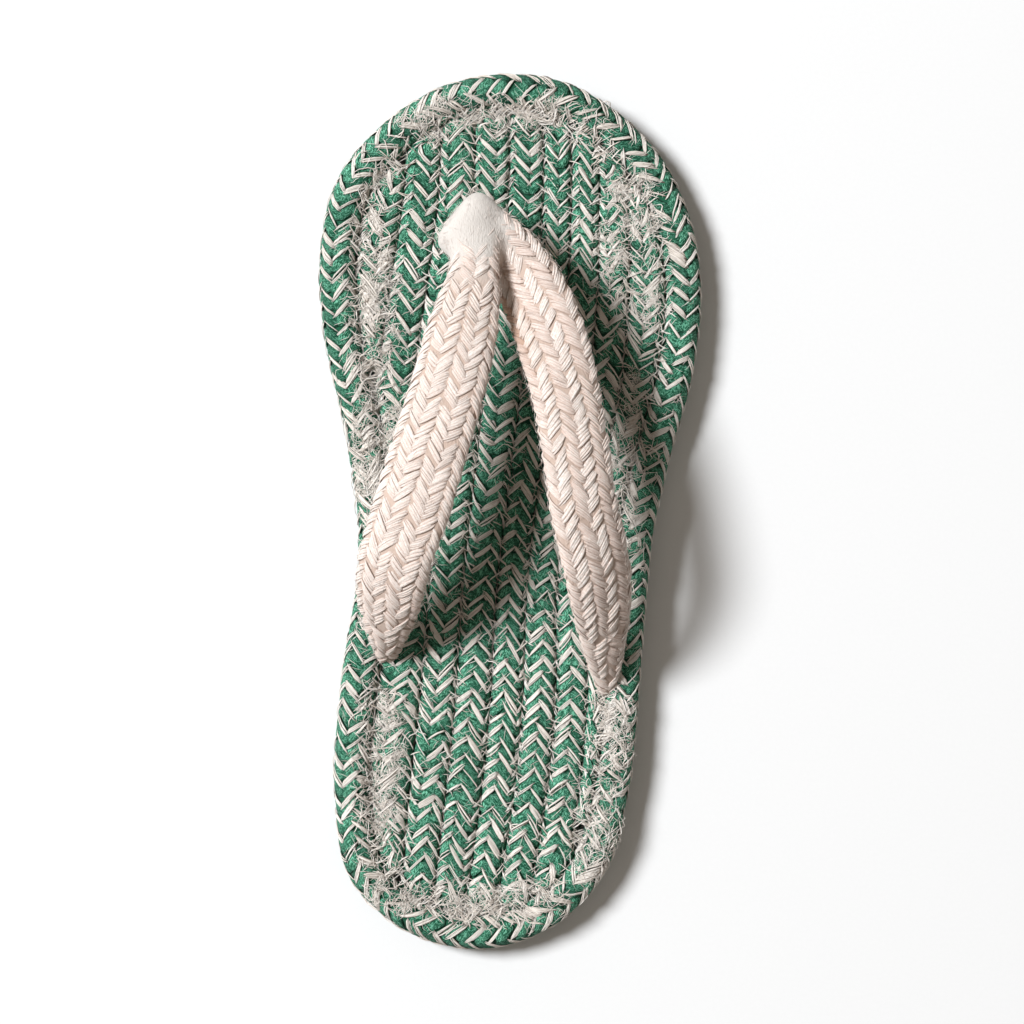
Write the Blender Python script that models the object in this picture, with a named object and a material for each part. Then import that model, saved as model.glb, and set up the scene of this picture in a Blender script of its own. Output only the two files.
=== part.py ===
"""Braided thong slipper for a right foot.

The sole is one layer of round braided cords laid side by side along the foot, with a
thicker braided cord sewn round them as a rim. The upper is a pair of flat, padded
braided straps that meet at a toe post. Lengths in the tables are in millimetres:
+Y points to the toe, +X to the outer side of the foot and +Z up.
"""

import math
from typing import NamedTuple

import bmesh
import bpy
import numpy as np

MM = 0.001

# Driving sizes
RIM_WIDTH = 10.0
RIM_HEIGHT = 11.6
MAT_HEIGHT = 10.0
PIECE_GAP = 0.3
TOE_SPRING = 2.5
WAIST_ARCH = 0.6

# Braid: the length of cord that one strand takes, and the depth of the furrows between
# the ridges. The cords of the sole show every second strand as a ridge, and the straps
# every one.
CORD_STRAND = 4.4
CORD_FURROW = 0.7
STRAP_STRAND = 3.4
STRAP_FURROW = 0.6
END_RAMP = 9.0

# The hollows that the straps and the toe post press into the mat
SEAT_START_SHARE = 0.6
SEAT_DEPTH = 4.0
POST_SEAT_BOTTOM = -3.0
POST_SEAT_TOP = 16.0
POST_CLEARANCE = 0.7

# How finely the forms are made
LINE_STEPS = 24
DIRECTION_STEP = 0.5
SCAN_STEP = 0.2
POST_SIDES = 18
SHARP_ANGLE = math.radians(50.0)

# Where the underside lies flat on the floor
HEEL_FLAT_FRONT = -48.0
BALL_FLAT_BACK = 18.0
BALL_FLAT_FRONT = 84.0
TOE_TIP = 120.0

# A cord of the mat stops where the rim leaves it less than this share of its width. Past
# its end the cord beside it widens to the rim.
LEAST_ROW_SHARE = 0.28
WIDEN_AFTER = 4.4
WIDEN_OVER = 4.0

# The cords of the mat, counted from the keel line to the outer side
ROWS = {
    "mat_cord_inner_short": -5,
    "mat_cord_inner_half": -4,
    "mat_cord_inner_side": -3,
    "mat_cord_inner_mid": -2,
    "mat_cord_inner_keel": -1,
    "mat_cord_outer_keel": 0,
    "mat_cord_outer_mid": 1,
    "mat_cord_outer_side": 2,
    "mat_cord_outer_edge": 3,
}


class EdgePoint(NamedTuple):
    """A place on the sole's outline, seen from above."""

    x: float
    y: float


class MatStation(NamedTuple):
    """How the cords of the mat are spread at one distance along the foot."""

    y: float
    keel: float
    inner_pitch: float
    outer_pitch: float


class StrapStation(NamedTuple):
    """Centre, size and bank of a strap's section. A positive bank lowers its +X edge."""

    x: float
    y: float
    z: float
    width: float
    thick: float
    bank: float


class PostStation(NamedTuple):
    """Centre and half axes of the toe post's section. The long axis is turned from +X."""

    x: float
    y: float
    z: float
    long_half: float
    short_half: float
    turn: float


class SectionPoint(NamedTuple):
    """A corner of a cord's section: its share of half the width and of the height,
    how far the chevron carries it forward, and its share of a furrow's depth."""

    across: float
    up: float
    lead: float
    furrow: float


EDGE = [
    EdgePoint(0.0, 120.0),
    EdgePoint(16.0, 117.4),
    EdgePoint(29.5, 109.6),
    EdgePoint(42.6, 96.0),
    EdgePoint(49.8, 80.0),
    EdgePoint(52.5, 61.5),
    EdgePoint(50.2, 38.0),
    EdgePoint(44.0, 15.0),
    EdgePoint(39.3, -6.0),
    EdgePoint(37.0, -28.0),
    EdgePoint(35.0, -54.0),
    EdgePoint(32.5, -77.0),
    EdgePoint(26.0, -99.0),
    EdgePoint(14.0, -112.3),
    EdgePoint(-8.5, -120.0),
    EdgePoint(-30.5, -114.0),
    EdgePoint(-44.6, -99.4),
    EdgePoint(-48.4, -78.0),
    EdgePoint(-46.6, -46.0),
    EdgePoint(-41.8, -11.0),
    EdgePoint(-45.2, 20.0),
    EdgePoint(-51.2, 48.0),
    EdgePoint(-52.4, 70.0),
    EdgePoint(-47.3, 91.7),
    EdgePoint(-35.9, 105.5),
    EdgePoint(-19.0, 116.4),
]

MAT = [
    MatStation(-120.0, -14.4, 9.2, 8.9),
    MatStation(-97.0, -11.2, 9.3, 8.9),
    MatStation(-78.0, -8.5, 9.8, 9.1),
    MatStation(-53.0, -6.0, 9.7, 9.0),
    MatStation(-18.0, -3.8, 9.3, 8.2),
    MatStation(4.0, -1.2, 9.6, 8.2),
    MatStation(31.0, 2.2, 9.9, 9.1),
    MatStation(66.0, 7.4, 10.0, 8.3),
    MatStation(87.0, 8.8, 9.6, 7.7),
    MatStation(120.0, 8.4, 9.3, 7.5),
]

INNER_STRAP = [
    StrapStation(-11.6, 76.4, 29.4, 15.4, 9.0, 0.0),
    StrapStation(-11.5, 65.0, 32.4, 13.4, 8.4, -4.0),
    StrapStation(-15.0, 48.0, 36.0, 19.0, 8.0, -9.0),
    StrapStation(-19.8, 30.0, 39.4, 19.8, 8.0, -12.0),
    StrapStation(-25.0, 13.0, 41.6, 20.6, 8.0, -14.0),
    StrapStation(-29.2, -1.0, 41.8, 20.8, 8.0, -16.0),
    StrapStation(-32.2, -10.0, 39.4, 20.2, 8.0, -18.0),
    StrapStation(-33.8, -18.0, 34.6, 19.6, 7.8, -18.0),
    StrapStation(-34.3, -25.5, 27.6, 16.6, 7.4, -16.0),
    StrapStation(-34.4, -32.0, 20.0, 12.0, 6.4, -12.0),
    StrapStation(-34.3, -37.0, 13.0, 7.6, 5.0, -6.0),
    StrapStation(-34.1, -40.0, 7.4, 4.6, 3.6, 0.0),
    StrapStation(-34.1, -41.4, 2.2, 3.8, 3.2, 0.0),
]

OUTER_STRAP = [
    StrapStation(-9.0, 76.0, 26.8, 15.0, 8.0, -26.0),
    StrapStation(-1.8, 68.6, 27.4, 17.6, 7.6, -28.0),
    StrapStation(4.6, 58.0, 29.4, 19.0, 7.8, -22.0),
    StrapStation(8.8, 46.0, 32.8, 19.0, 8.0, -6.0),
    StrapStation(12.2, 31.0, 37.6, 18.8, 8.0, 8.0),
    StrapStation(14.8, 13.0, 41.4, 18.8, 8.0, 14.0),
    StrapStation(16.8, -1.0, 41.8, 19.0, 8.0, 16.0),
    StrapStation(19.2, -10.0, 39.8, 19.4, 8.0, 18.0),
    StrapStation(21.2, -18.0, 35.6, 19.0, 7.8, 18.0),
    StrapStation(22.8, -27.0, 29.0, 16.4, 7.4, 16.0),
    StrapStation(24.0, -35.0, 21.6, 13.0, 6.6, 12.0),
    StrapStation(25.2, -43.0, 14.2, 8.6, 5.2, 6.0),
    StrapStation(26.2, -49.0, 8.0, 5.0, 3.8, 0.0),
    StrapStation(26.6, -51.0, 2.2, 3.8, 3.2, 0.0),
]

TOE_POST = [
    PostStation(-11.5, 75.0, 1.2, 2.6, 2.6, 52.0),
    PostStation(-11.5, 75.2, 3.0, 3.4, 3.4, 52.0),
    PostStation(-11.6, 75.6, 12.0, 3.8, 3.8, 52.0),
    PostStation(-12.0, 76.2, 18.0, 4.8, 4.2, 52.0),
    PostStation(-12.9, 76.4, 22.6, 8.0, 4.8, 52.0),
    PostStation(-13.2, 76.4, 26.2, 9.6, 5.2, 52.0),
    PostStation(-13.2, 76.4, 30.0, 9.8, 5.2, 52.0),
    PostStation(-13.1, 76.2, 32.0, 8.4, 4.4, 52.0),
    PostStation(-12.9, 76.0, 33.4, 5.6, 3.0, 52.0),
    PostStation(-12.7, 75.8, 34.2, 2.2, 1.4, 52.0),
]

# Eight columns of strands go round a mat cord, and it is pressed flat underneath
MAT_SECTION = [
    SectionPoint(0.0, 1.0, 0.0, 1.0),
    SectionPoint(0.78, 0.84, 3.3, 1.0),
    SectionPoint(1.0, 0.44, 1.8, 0.5),
    SectionPoint(0.62, 0.0, 0.0, 0.0),
    SectionPoint(-0.62, 0.0, 0.0, 0.0),
    SectionPoint(-1.0, 0.44, 1.8, 0.5),
    SectionPoint(-0.78, 0.84, 3.3, 1.0),
]

# Eight columns go round the rim, with a chevron's point on its outer shoulder
RIM_SECTION = [
    SectionPoint(0.42, 0.95, 0.0, 1.0),
    SectionPoint(0.86, 0.74, 3.3, 1.0),
    SectionPoint(1.0, 0.38, 0.9, 0.6),
    SectionPoint(0.62, 0.0, 0.0, 0.0),
    SectionPoint(-0.62, 0.0, 0.0, 0.0),
    SectionPoint(-1.0, 0.38, 0.9, 0.3),
    SectionPoint(-0.82, 0.8, 0.0, 1.0),
    SectionPoint(-0.42, 0.97, 3.3, 1.0),
]

# Six columns of strands show on a strap's face, and its back is plain
STRAP_SECTION = [
    SectionPoint(-1.0, 0.46, 0.0, 0.4),
    SectionPoint(-0.72, 0.84, 3.5, 1.0),
    SectionPoint(-0.37, 0.98, 0.0, 1.0),
    SectionPoint(0.0, 1.0, 3.5, 1.0),
    SectionPoint(0.37, 0.98, 0.0, 1.0),
    SectionPoint(0.72, 0.84, 3.5, 1.0),
    SectionPoint(1.0, 0.46, 0.0, 0.4),
    SectionPoint(0.72, 0.12, 1.0, 0.0),
    SectionPoint(0.25, 0.0, 0.0, 0.0),
    SectionPoint(-0.25, 0.0, 0.0, 0.0),
    SectionPoint(-0.72, 0.12, 1.0, 0.0),
]


def hermite_tangents(points, closed):
    """Tangents, per unit of chord length, of a smooth curve through the points."""
    count = len(points)
    tangents = np.zeros_like(points)
    for i in range(count):
        before = points[(i - 1) % count] if closed or i > 0 else None
        after = points[(i + 1) % count] if closed or i < count - 1 else None
        if before is None:
            tangents[i] = (after - points[i]) / np.linalg.norm(after - points[i])
        elif after is None:
            tangents[i] = (points[i] - before) / np.linalg.norm(points[i] - before)
        else:
            back = np.linalg.norm(points[i] - before)
            ahead = np.linalg.norm(after - points[i])
            slope_back = (points[i] - before) / back
            slope_ahead = (after - points[i]) / ahead
            tangents[i] = (slope_back * ahead + slope_ahead * back) / (back + ahead)
    return tangents


def smooth_line(points, closed=False):
    """Close points along a smooth curve through the given ones."""
    points = np.asarray(points, dtype=float)
    tangents = hermite_tangents(points[:, :3], closed)
    count = len(points)
    line = []
    for i in range(count if closed else count - 1):
        start, end = points[i], points[(i + 1) % count]
        chord = np.linalg.norm(end - start)
        start_pull = tangents[i] * chord
        end_pull = tangents[(i + 1) % count] * chord
        for t in np.arange(LINE_STEPS) / LINE_STEPS:
            line.append(
                start * (2 * t**3 - 3 * t**2 + 1)
                + start_pull * (t**3 - 2 * t**2 + t)
                + end * (3 * t**2 - 2 * t**3)
                + end_pull * (t**3 - t**2)
            )
    line.append(points[0] if closed else points[-1])
    return np.array(line)


def lengths_along(line):
    """Distance from the start of a line to each of its points."""
    return np.concatenate([[0.0], np.cumsum(np.linalg.norm(np.diff(line, axis=0), axis=1))])


def read_line(line, lengths, distance):
    """The line's point at a distance along it."""
    return np.array([np.interp(distance, lengths, line[:, i]) for i in range(line.shape[1])])


def smooth_columns(table, at):
    """A table's columns, read smoothly at a value of its y column."""
    stations = np.array([row.y for row in table])
    values = np.array([row[1:] for row in table])
    slopes = np.gradient(values, stations, axis=0)
    at = min(max(at, stations[0]), stations[-1])
    i = min(int(np.searchsorted(stations, at, side="right")) - 1, len(stations) - 2)
    span = stations[i + 1] - stations[i]
    t = (at - stations[i]) / span
    return (
        values[i] * (2 * t**3 - 3 * t**2 + 1)
        + slopes[i] * span * (t**3 - 2 * t**2 + t)
        + values[i + 1] * (3 * t**2 - 2 * t**3)
        + slopes[i + 1] * span * (t**3 - t**2)
    )


def floor_lift(y):
    """Height of the underside over the floor: none at heel and ball, a little at the
    waist, and the toe spring."""
    toe = max(0.0, (y - BALL_FLAT_FRONT) / (TOE_TIP - BALL_FLAT_FRONT))
    waist = (y - HEEL_FLAT_FRONT) / (BALL_FLAT_BACK - HEEL_FLAT_FRONT)
    waist = min(max(waist, 0.0), 1.0)
    return TOE_SPRING * toe**2 + WAIST_ARCH * math.sin(math.pi * waist) ** 2


def outward_normals(line):
    """Unit normals that point out of a closed line that runs clockwise from above."""
    ahead = np.roll(line, -1, axis=0) - np.roll(line, 1, axis=0)
    normals = np.stack([-ahead[:, 1], ahead[:, 0]], axis=1)
    return normals / np.linalg.norm(normals, axis=1)[:, None]


def inset_outline(inset):
    """The sole's outline, moved inwards, without its repeated last point."""
    line = smooth_line([(p.x, p.y) for p in EDGE], closed=True)[:-1]
    return line - outward_normals(line) * inset


RIM_CENTRE = inset_outline(RIM_WIDTH / 2)
RIM_INSIDE = inset_outline(RIM_WIDTH)


def inside_limits(y):
    """The x of the rim's inner side, left and right, at y, or None past its ends."""
    x, along = RIM_INSIDE[:, 0], RIM_INSIDE[:, 1]
    next_x, next_along = np.roll(x, -1), np.roll(along, -1)
    crossing = (along - y) * (next_along - y) < 0
    if crossing.sum() < 2:
        return None
    share = (y - along[crossing]) / (next_along[crossing] - along[crossing])
    hits = x[crossing] + share * (next_x[crossing] - x[crossing])
    return hits.min(), hits.max()


def narrow_limits(index, y):
    """Left and right side of a mat cord at y in its own lane, and the rim's on either
    side, or None where the rim leaves the cord too little room."""
    inside = inside_limits(y)
    if inside is None:
        return None
    keel, inner_pitch, outer_pitch = smooth_columns(MAT, y)
    pitch = inner_pitch if index < 0 else outer_pitch
    rim_left, rim_right = inside[0] + PIECE_GAP, inside[1] - PIECE_GAP
    left = max(keel + pitch * index + PIECE_GAP / 2, rim_left)
    right = min(keel + pitch * (index + 1) - PIECE_GAP / 2, rim_right)
    if right - left < LEAST_ROW_SHARE * pitch:
        return None
    return left, right, rim_left, rim_right


def lane_reach(index):
    """The y where a mat cord starts and where it stops."""
    ys = [y for y in np.arange(-TOE_TIP, TOE_TIP, SCAN_STEP) if narrow_limits(index, y)]
    return ys[0], ys[-1]


LANES = {index: lane_reach(index) for index in ROWS.values()}


def free_share(neighbour, y):
    """How much of the room beside it a mat cord takes: all where it has no neighbour."""
    if neighbour not in LANES:
        return 1.0
    start, stop = LANES[neighbour]
    past = max(start - y, y - stop)
    return min(max((past - WIDEN_AFTER) / WIDEN_OVER, 0.0), 1.0)


def row_limits(index, y):
    """Left and right side of a mat cord at y, clear of its neighbours and the rim. It
    reaches the rim where it has no neighbour, or the neighbour has stopped."""
    limits = narrow_limits(index, y)
    if limits is None:
        return None
    left, right, rim_left, rim_right = limits
    left -= (left - rim_left) * free_share(index - 1, y)
    right += (rim_right - right) * free_share(index + 1, y)
    return left, right


def row_reach(index):
    """The y of a mat cord's heel end and toe end."""
    ys = [y for y in np.arange(-TOE_TIP, TOE_TIP, SCAN_STEP) if row_limits(index, y)]
    return ys[0] + PIECE_GAP, ys[-1] - PIECE_GAP


def loft(name, rings, closed, parent):
    """A mesh object through rings of points, in millimetres, closed or with fan caps."""
    form = bmesh.new()
    loops = [[form.verts.new(np.asarray(p) * MM) for p in ring] for ring in rings]
    sides = len(loops[0])
    pairs = list(zip(loops, loops[1:]))
    if closed:
        pairs.append((loops[-1], loops[0]))
    for low, high in pairs:
        for i in range(sides):
            j = (i + 1) % sides
            form.faces.new((low[i], low[j], high[j], high[i]))
    if not closed:
        for ring, loop in ((rings[0], loops[0]), (rings[-1], loops[-1])):
            centre = form.verts.new(np.mean(ring, axis=0) * MM)
            for i in range(sides):
                form.faces.new((loop[i], loop[(i + 1) % sides], centre))
    bmesh.ops.recalc_face_normals(form, faces=form.faces)
    bmesh.ops.triangulate(form, faces=form.faces)
    mesh = bpy.data.meshes.new(name)
    form.to_mesh(mesh)
    form.free()
    mesh.shade_smooth()
    mesh.set_sharp_from_angle(angle=SHARP_ANGLE)
    piece = bpy.data.objects.new(name, mesh)
    parent.objects.link(piece)
    return piece


def braided_rings(length, half_ridge, furrow, section, place, closed):
    """Rings along a cord, by turns on a ridge and in a furrow."""
    count = 2 * round(length / (2 * half_ridge))
    rings = []
    for k in range(count if closed else count + 1):
        along = length * k / count
        ramp = 1.0 if closed else min(1.0, along / END_RAMP, (length - along) / END_RAMP)
        depth = ramp * furrow * (k % 2)
        ring = []
        for corner in section:
            reach = along + corner.lead * ramp
            reach = reach % length if closed else min(reach, length)
            ring.append(place(reach, corner.across, corner.up, depth * corner.furrow))
        rings.append(ring)
    return rings


def make_mat_cord(name, index, parent):
    """One lengthwise cord of the mat."""
    heel_end, toe_end = row_reach(index)

    def place(along, across, up, sink):
        y = min(heel_end + along, toe_end)
        left, right = row_limits(index, y)
        side = across * ((right - left) / 2 - sink)
        return ((left + right) / 2 + side, y, up * (MAT_HEIGHT - sink) + floor_lift(y))

    length = toe_end - heel_end
    rings = braided_rings(length, CORD_STRAND, CORD_FURROW, MAT_SECTION, place, False)
    return loft(name, rings, False, parent)


def make_rim(name, parent):
    """The thicker cord that runs all round the mat."""
    line = np.vstack([RIM_CENTRE, RIM_CENTRE[:1]])
    normals = outward_normals(RIM_CENTRE)
    normals = np.vstack([normals, normals[:1]])
    lengths = lengths_along(line)

    def place(along, across, up, sink):
        x, y = read_line(line, lengths, along)
        out_x, out_y = read_line(normals, lengths, along)
        side = across * (RIM_WIDTH / 2 - sink)
        z = up * (RIM_HEIGHT - sink) + floor_lift(y)
        return (x + out_x * side, y + out_y * side, z)

    rings = braided_rings(lengths[-1], CORD_STRAND, CORD_FURROW, RIM_SECTION, place, True)
    return loft(name, rings, True, parent)


def strap_places(table, grow):
    """The length of a strap, and the function that places a point of its section."""
    line = smooth_line([(p.x, p.y, p.z) for p in table])
    lengths = lengths_along(line)
    knots = lengths[::LINE_STEPS]
    sizes = np.array([(p.width, p.thick, p.bank) for p in table])

    def place(along, across, up, sink):
        centre = read_line(line, lengths, along)
        ahead = read_line(line, lengths, min(along + DIRECTION_STEP, lengths[-1]))
        behind = read_line(line, lengths, max(along - DIRECTION_STEP, 0.0))
        forward = (ahead - behind) / np.linalg.norm(ahead - behind)
        width, thick, bank = read_line(sizes, knots, along)
        side = np.cross((0.0, 0.0, 1.0), forward)
        side /= np.linalg.norm(side)
        face = np.cross(forward, side)
        lean = math.radians(bank)
        across_axis = side * math.cos(lean) - face * math.sin(lean)
        up_axis = face * math.cos(lean) + side * math.sin(lean)
        half = width / 2 + grow - sink
        height = (up - 0.5) * (thick + 2 * grow) - sink * max(0.0, 2 * up - 1)
        return centre + across_axis * across * half + up_axis * height

    return lengths[-1], place


def make_strap(name, table, parent):
    """A padded strap from the toe post to where it goes into the mat."""
    length, place = strap_places(table, 0.0)
    rings = braided_rings(length, STRAP_STRAND / 2, STRAP_FURROW, STRAP_SECTION, place, False)
    return loft(name, rings, False, parent)


def make_strap_seat(name, table, parent):
    """The hollow that a strap's end presses into the mat and the rim."""
    length, place = strap_places(table, PIECE_GAP)
    rings = []
    for along in np.arange(length * SEAT_START_SHARE, length, STRAP_STRAND / 2):
        rings.append([place(along, p.across, p.up, 0.0) for p in STRAP_SECTION])
    rings.append([place(length, p.across, p.up, 0.0) for p in STRAP_SECTION])
    rings.append([np.array(p) - (0.0, 0.0, SEAT_DEPTH) for p in rings[-1]])
    return loft(name, rings, False, parent)


def post_ring(station, grow):
    """The corners of one section of the toe post."""
    turn = math.radians(station.turn)
    ring = []
    for angle in np.arange(POST_SIDES) * 2 * math.pi / POST_SIDES:
        u = (station.long_half + grow) * math.cos(angle)
        v = (station.short_half + grow) * math.sin(angle)
        x = station.x + u * math.cos(turn) - v * math.sin(turn)
        y = station.y + u * math.sin(turn) + v * math.cos(turn)
        ring.append((x, y, station.z))
    return ring


def make_toe_post(name, parent):
    """The post between the toes, with the knob that holds the straps together."""
    return loft(name, [post_ring(station, 0.0) for station in TOE_POST], False, parent)


def make_post_seat(name, parent):
    """The hole in the mat that the toe post stands in."""
    foot = TOE_POST[1]
    bottom = post_ring(foot._replace(z=POST_SEAT_BOTTOM), POST_CLEARANCE)
    top = post_ring(foot._replace(z=POST_SEAT_TOP), POST_CLEARANCE)
    return loft(name, [bottom, top], False, parent)


def combine(piece, other, operation):
    """Join another form to a piece, or cut it out of the piece."""
    boolean = piece.modifiers.new(f"{operation.lower()} {other.name}", "BOOLEAN")
    boolean.operation = operation
    boolean.solver = "EXACT"
    boolean.object = other
    other.hide_render = True
    other.display_type = "WIRE"


def make_material(name, colour, roughness):
    """A plain cloth material."""
    material = bpy.data.materials.new(name)
    material.use_nodes = True
    shader = material.node_tree.nodes["Principled BSDF"]
    shader.inputs["Base Color"].default_value = (*colour, 1.0)
    shader.inputs["Roughness"].default_value = roughness
    shader.inputs["Metallic"].default_value = 0.0
    material.diffuse_color = (*colour, 1.0)
    return material


def make_collection(name):
    """A collection of the scene."""
    collection = bpy.data.collections.new(name)
    bpy.context.scene.collection.children.link(collection)
    return collection


def main():
    """Build the slipper."""
    for old in list(bpy.data.objects):
        bpy.data.objects.remove(old, do_unlink=True)
    slipper = make_collection("thong_slipper")
    forms = make_collection("forms_that_join_or_cut")
    mat_cloth = make_material("green_and_cream_cord", (0.10, 0.36, 0.24), 0.9)
    rim_cloth = make_material("green_and_cream_rim", (0.14, 0.42, 0.29), 0.9)
    strap_cloth = make_material("cream_strap_cotton", (0.86, 0.76, 0.69), 0.95)

    mat_cords = [make_mat_cord(name, index, slipper) for name, index in ROWS.items()]
    rim = make_rim("rim_cord", slipper)
    upper = make_strap("upper", INNER_STRAP, slipper)

    combine(upper, make_strap("outer_strap_form", OUTER_STRAP, forms), "UNION")
    combine(upper, make_toe_post("toe_post_form", forms), "UNION")

    inner_seat = make_strap_seat("inner_strap_seat", INNER_STRAP, forms)
    outer_seat = make_strap_seat("outer_strap_seat", OUTER_STRAP, forms)
    post_seat = make_post_seat("toe_post_seat", forms)
    for piece in (*mat_cords, rim):
        for seat in (inner_seat, outer_seat, post_seat):
            combine(piece, seat, "DIFFERENCE")
    for cord in mat_cords:
        cord.data.materials.append(mat_cloth)
    rim.data.materials.append(rim_cloth)
    upper.data.materials.append(strap_cloth)


main()
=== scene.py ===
"""Braided thong slipper: braided green and cream cords sewn into a sole, and padded straps.

Every strand of the braids is a raised strand of its own, laid on smooth cord cores. The
tables give the slipper in millimetres: +Y points to the toe, +X to the outer side of a
right foot and +Z up. Meshes are made in metres.
"""

import math
from typing import NamedTuple

import bmesh
import bpy
import numpy as np
from bpy.props import FloatProperty, FloatVectorProperty, IntProperty, PointerProperty
from mathutils import Matrix, Vector


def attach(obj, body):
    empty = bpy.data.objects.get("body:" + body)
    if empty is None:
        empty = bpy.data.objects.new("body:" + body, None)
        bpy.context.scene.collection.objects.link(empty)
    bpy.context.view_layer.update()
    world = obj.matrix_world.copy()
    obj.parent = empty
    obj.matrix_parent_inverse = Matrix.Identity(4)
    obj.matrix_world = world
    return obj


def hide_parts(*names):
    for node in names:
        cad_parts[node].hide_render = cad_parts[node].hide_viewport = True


bl_info = {
    "name": "Braided Thong Slipper",
    "version": (1, 0, 0),
    "blender": (4, 5, 0),
    "location": "View3D > Sidebar > Slipper",
    "description": "Lays the strands, threads and frayed fibres of a braided slipper",
    "category": "Object",
}

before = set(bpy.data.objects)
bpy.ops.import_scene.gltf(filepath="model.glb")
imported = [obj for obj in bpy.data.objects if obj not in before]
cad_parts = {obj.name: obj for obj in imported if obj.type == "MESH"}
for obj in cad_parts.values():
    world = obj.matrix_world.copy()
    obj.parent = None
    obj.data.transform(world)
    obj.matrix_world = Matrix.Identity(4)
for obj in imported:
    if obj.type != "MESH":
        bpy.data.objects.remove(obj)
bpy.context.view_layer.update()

MM = 0.001


class EdgePoint(NamedTuple):
    """A place on the sole's outline, seen from above."""

    x: float
    y: float


class MatStation(NamedTuple):
    """How the cords of the mat are spread at one distance along the foot."""

    y: float
    keel: float
    inner_pitch: float
    outer_pitch: float


class StrapStation(NamedTuple):
    """Centre, size and bank of a strap's section. A positive bank lowers its +X edge."""

    x: float
    y: float
    z: float
    width: float
    thick: float
    bank: float


class PostStation(NamedTuple):
    """Centre and half axes of the toe post's section. The long axis is turned from +X."""

    x: float
    y: float
    z: float
    long_half: float
    short_half: float
    turn: float


class Spine(NamedTuple):
    """Where on a cord a chevron's point lies: the distance along and the angle from the
    top, in degrees. The point is the one that looks back along the cord."""

    along: float
    angle: float


class Fray(NamedTuple):
    """A worn patch of the sole: its centre, half its size, and how worn it is."""

    x: float
    y: float
    half_x: float
    half_y: float
    wear: float


class Strap(NamedTuple):
    """A strap: its name and stations, how many rings its padding has and along what stretch
    that sinks below the braid, and along what stretch the braid fades in. Where first is 1,
    the first column's strands run to the left edge. Its left edge gets painted shade, for
    the shadow beside the fold, up to a place along it."""

    name: str
    table: list
    rings: int
    sunk: tuple
    fade: tuple
    first: int
    painted_fold_shade: float


def named_rows(kind, rows):
    """Rows of plain numbers as rows of one kind, whose numbers have names."""
    return [kind(*row) for row in rows]


EDGE = named_rows(EdgePoint, [
    (0.0, 120.0), (16.0, 117.4), (29.5, 109.6), (42.6, 96.0), (49.8, 80.0), (52.5, 61.5),
    (50.2, 38.0), (44.0, 15.0), (39.3, -6.0), (37.0, -28.0), (35.0, -54.0), (32.5, -77.0),
    (26.0, -99.0), (14.0, -112.3), (-8.5, -120.0), (-30.5, -114.0), (-44.6, -99.4),
    (-48.4, -78.0), (-46.6, -46.0), (-41.8, -11.0), (-45.2, 20.0), (-51.2, 48.0), (-52.4, 70.0),
    (-47.3, 91.7), (-35.9, 105.5), (-19.0, 116.4),
])

MAT = named_rows(MatStation, [
    (-120.0, -14.4, 9.2, 8.9), (-97.0, -11.2, 9.3, 8.9), (-78.0, -8.5, 9.8, 9.1),
    (-53.0, -6.0, 9.7, 9.0), (-18.0, -3.8, 9.3, 8.2), (4.0, -1.2, 9.6, 8.2),
    (31.0, 2.2, 9.9, 9.1), (66.0, 7.4, 10.0, 8.3), (87.0, 8.8, 9.6, 7.7), (120.0, 8.4, 9.3, 7.5),
])

INNER_STRAP = named_rows(StrapStation, [
    (-11.6, 76.4, 29.4, 15.4, 9.0, 0.0),
    (-11.5, 65.0, 32.4, 13.4, 8.4, -4.0),
    (-15.0, 48.0, 36.0, 19.0, 8.0, -9.0),
    (-19.8, 30.0, 39.4, 19.8, 8.0, -12.0),
    (-25.0, 13.0, 41.6, 20.6, 8.0, -14.0),
    (-29.2, -1.0, 41.8, 20.8, 8.0, -16.0),
    (-32.2, -10.0, 39.4, 20.2, 8.0, -18.0),
    (-33.8, -18.0, 34.6, 19.6, 7.8, -18.0),
    (-34.3, -25.5, 27.6, 16.6, 7.4, -16.0),
    (-34.4, -32.0, 20.0, 12.0, 6.4, -12.0),
    (-34.3, -37.0, 13.0, 7.6, 5.0, -6.0),
    (-34.1, -40.0, 7.4, 4.6, 3.6, 0.0),
    (-34.1, -41.4, 2.2, 3.8, 3.2, 0.0),
])

OUTER_STRAP = named_rows(StrapStation, [
    (-12.4, 79.2, 26.6, 11.6, 7.4, -22.0),
    (-9.0, 76.0, 26.8, 15.0, 8.0, -26.0),
    (-1.8, 68.6, 27.4, 17.6, 7.6, -28.0),
    (4.6, 58.0, 29.4, 19.0, 7.8, -22.0),
    (8.8, 46.0, 32.8, 19.0, 8.0, -6.0),
    (12.2, 31.0, 37.6, 18.8, 8.0, 8.0),
    (14.8, 13.0, 41.4, 18.8, 8.0, 14.0),
    (16.8, -1.0, 41.8, 19.0, 8.0, 16.0),
    (19.2, -10.0, 39.8, 19.4, 8.0, 18.0),
    (21.2, -18.0, 35.6, 19.0, 7.8, 18.0),
    (22.8, -27.0, 29.0, 16.4, 7.4, 16.0),
    (24.0, -35.0, 21.6, 13.0, 6.6, 12.0),
    (25.2, -43.0, 14.2, 8.6, 5.2, 6.0),
    (26.2, -49.0, 8.0, 5.0, 3.8, 0.0),
    (26.6, -51.0, 2.2, 3.8, 3.2, 0.0),
])

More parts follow.
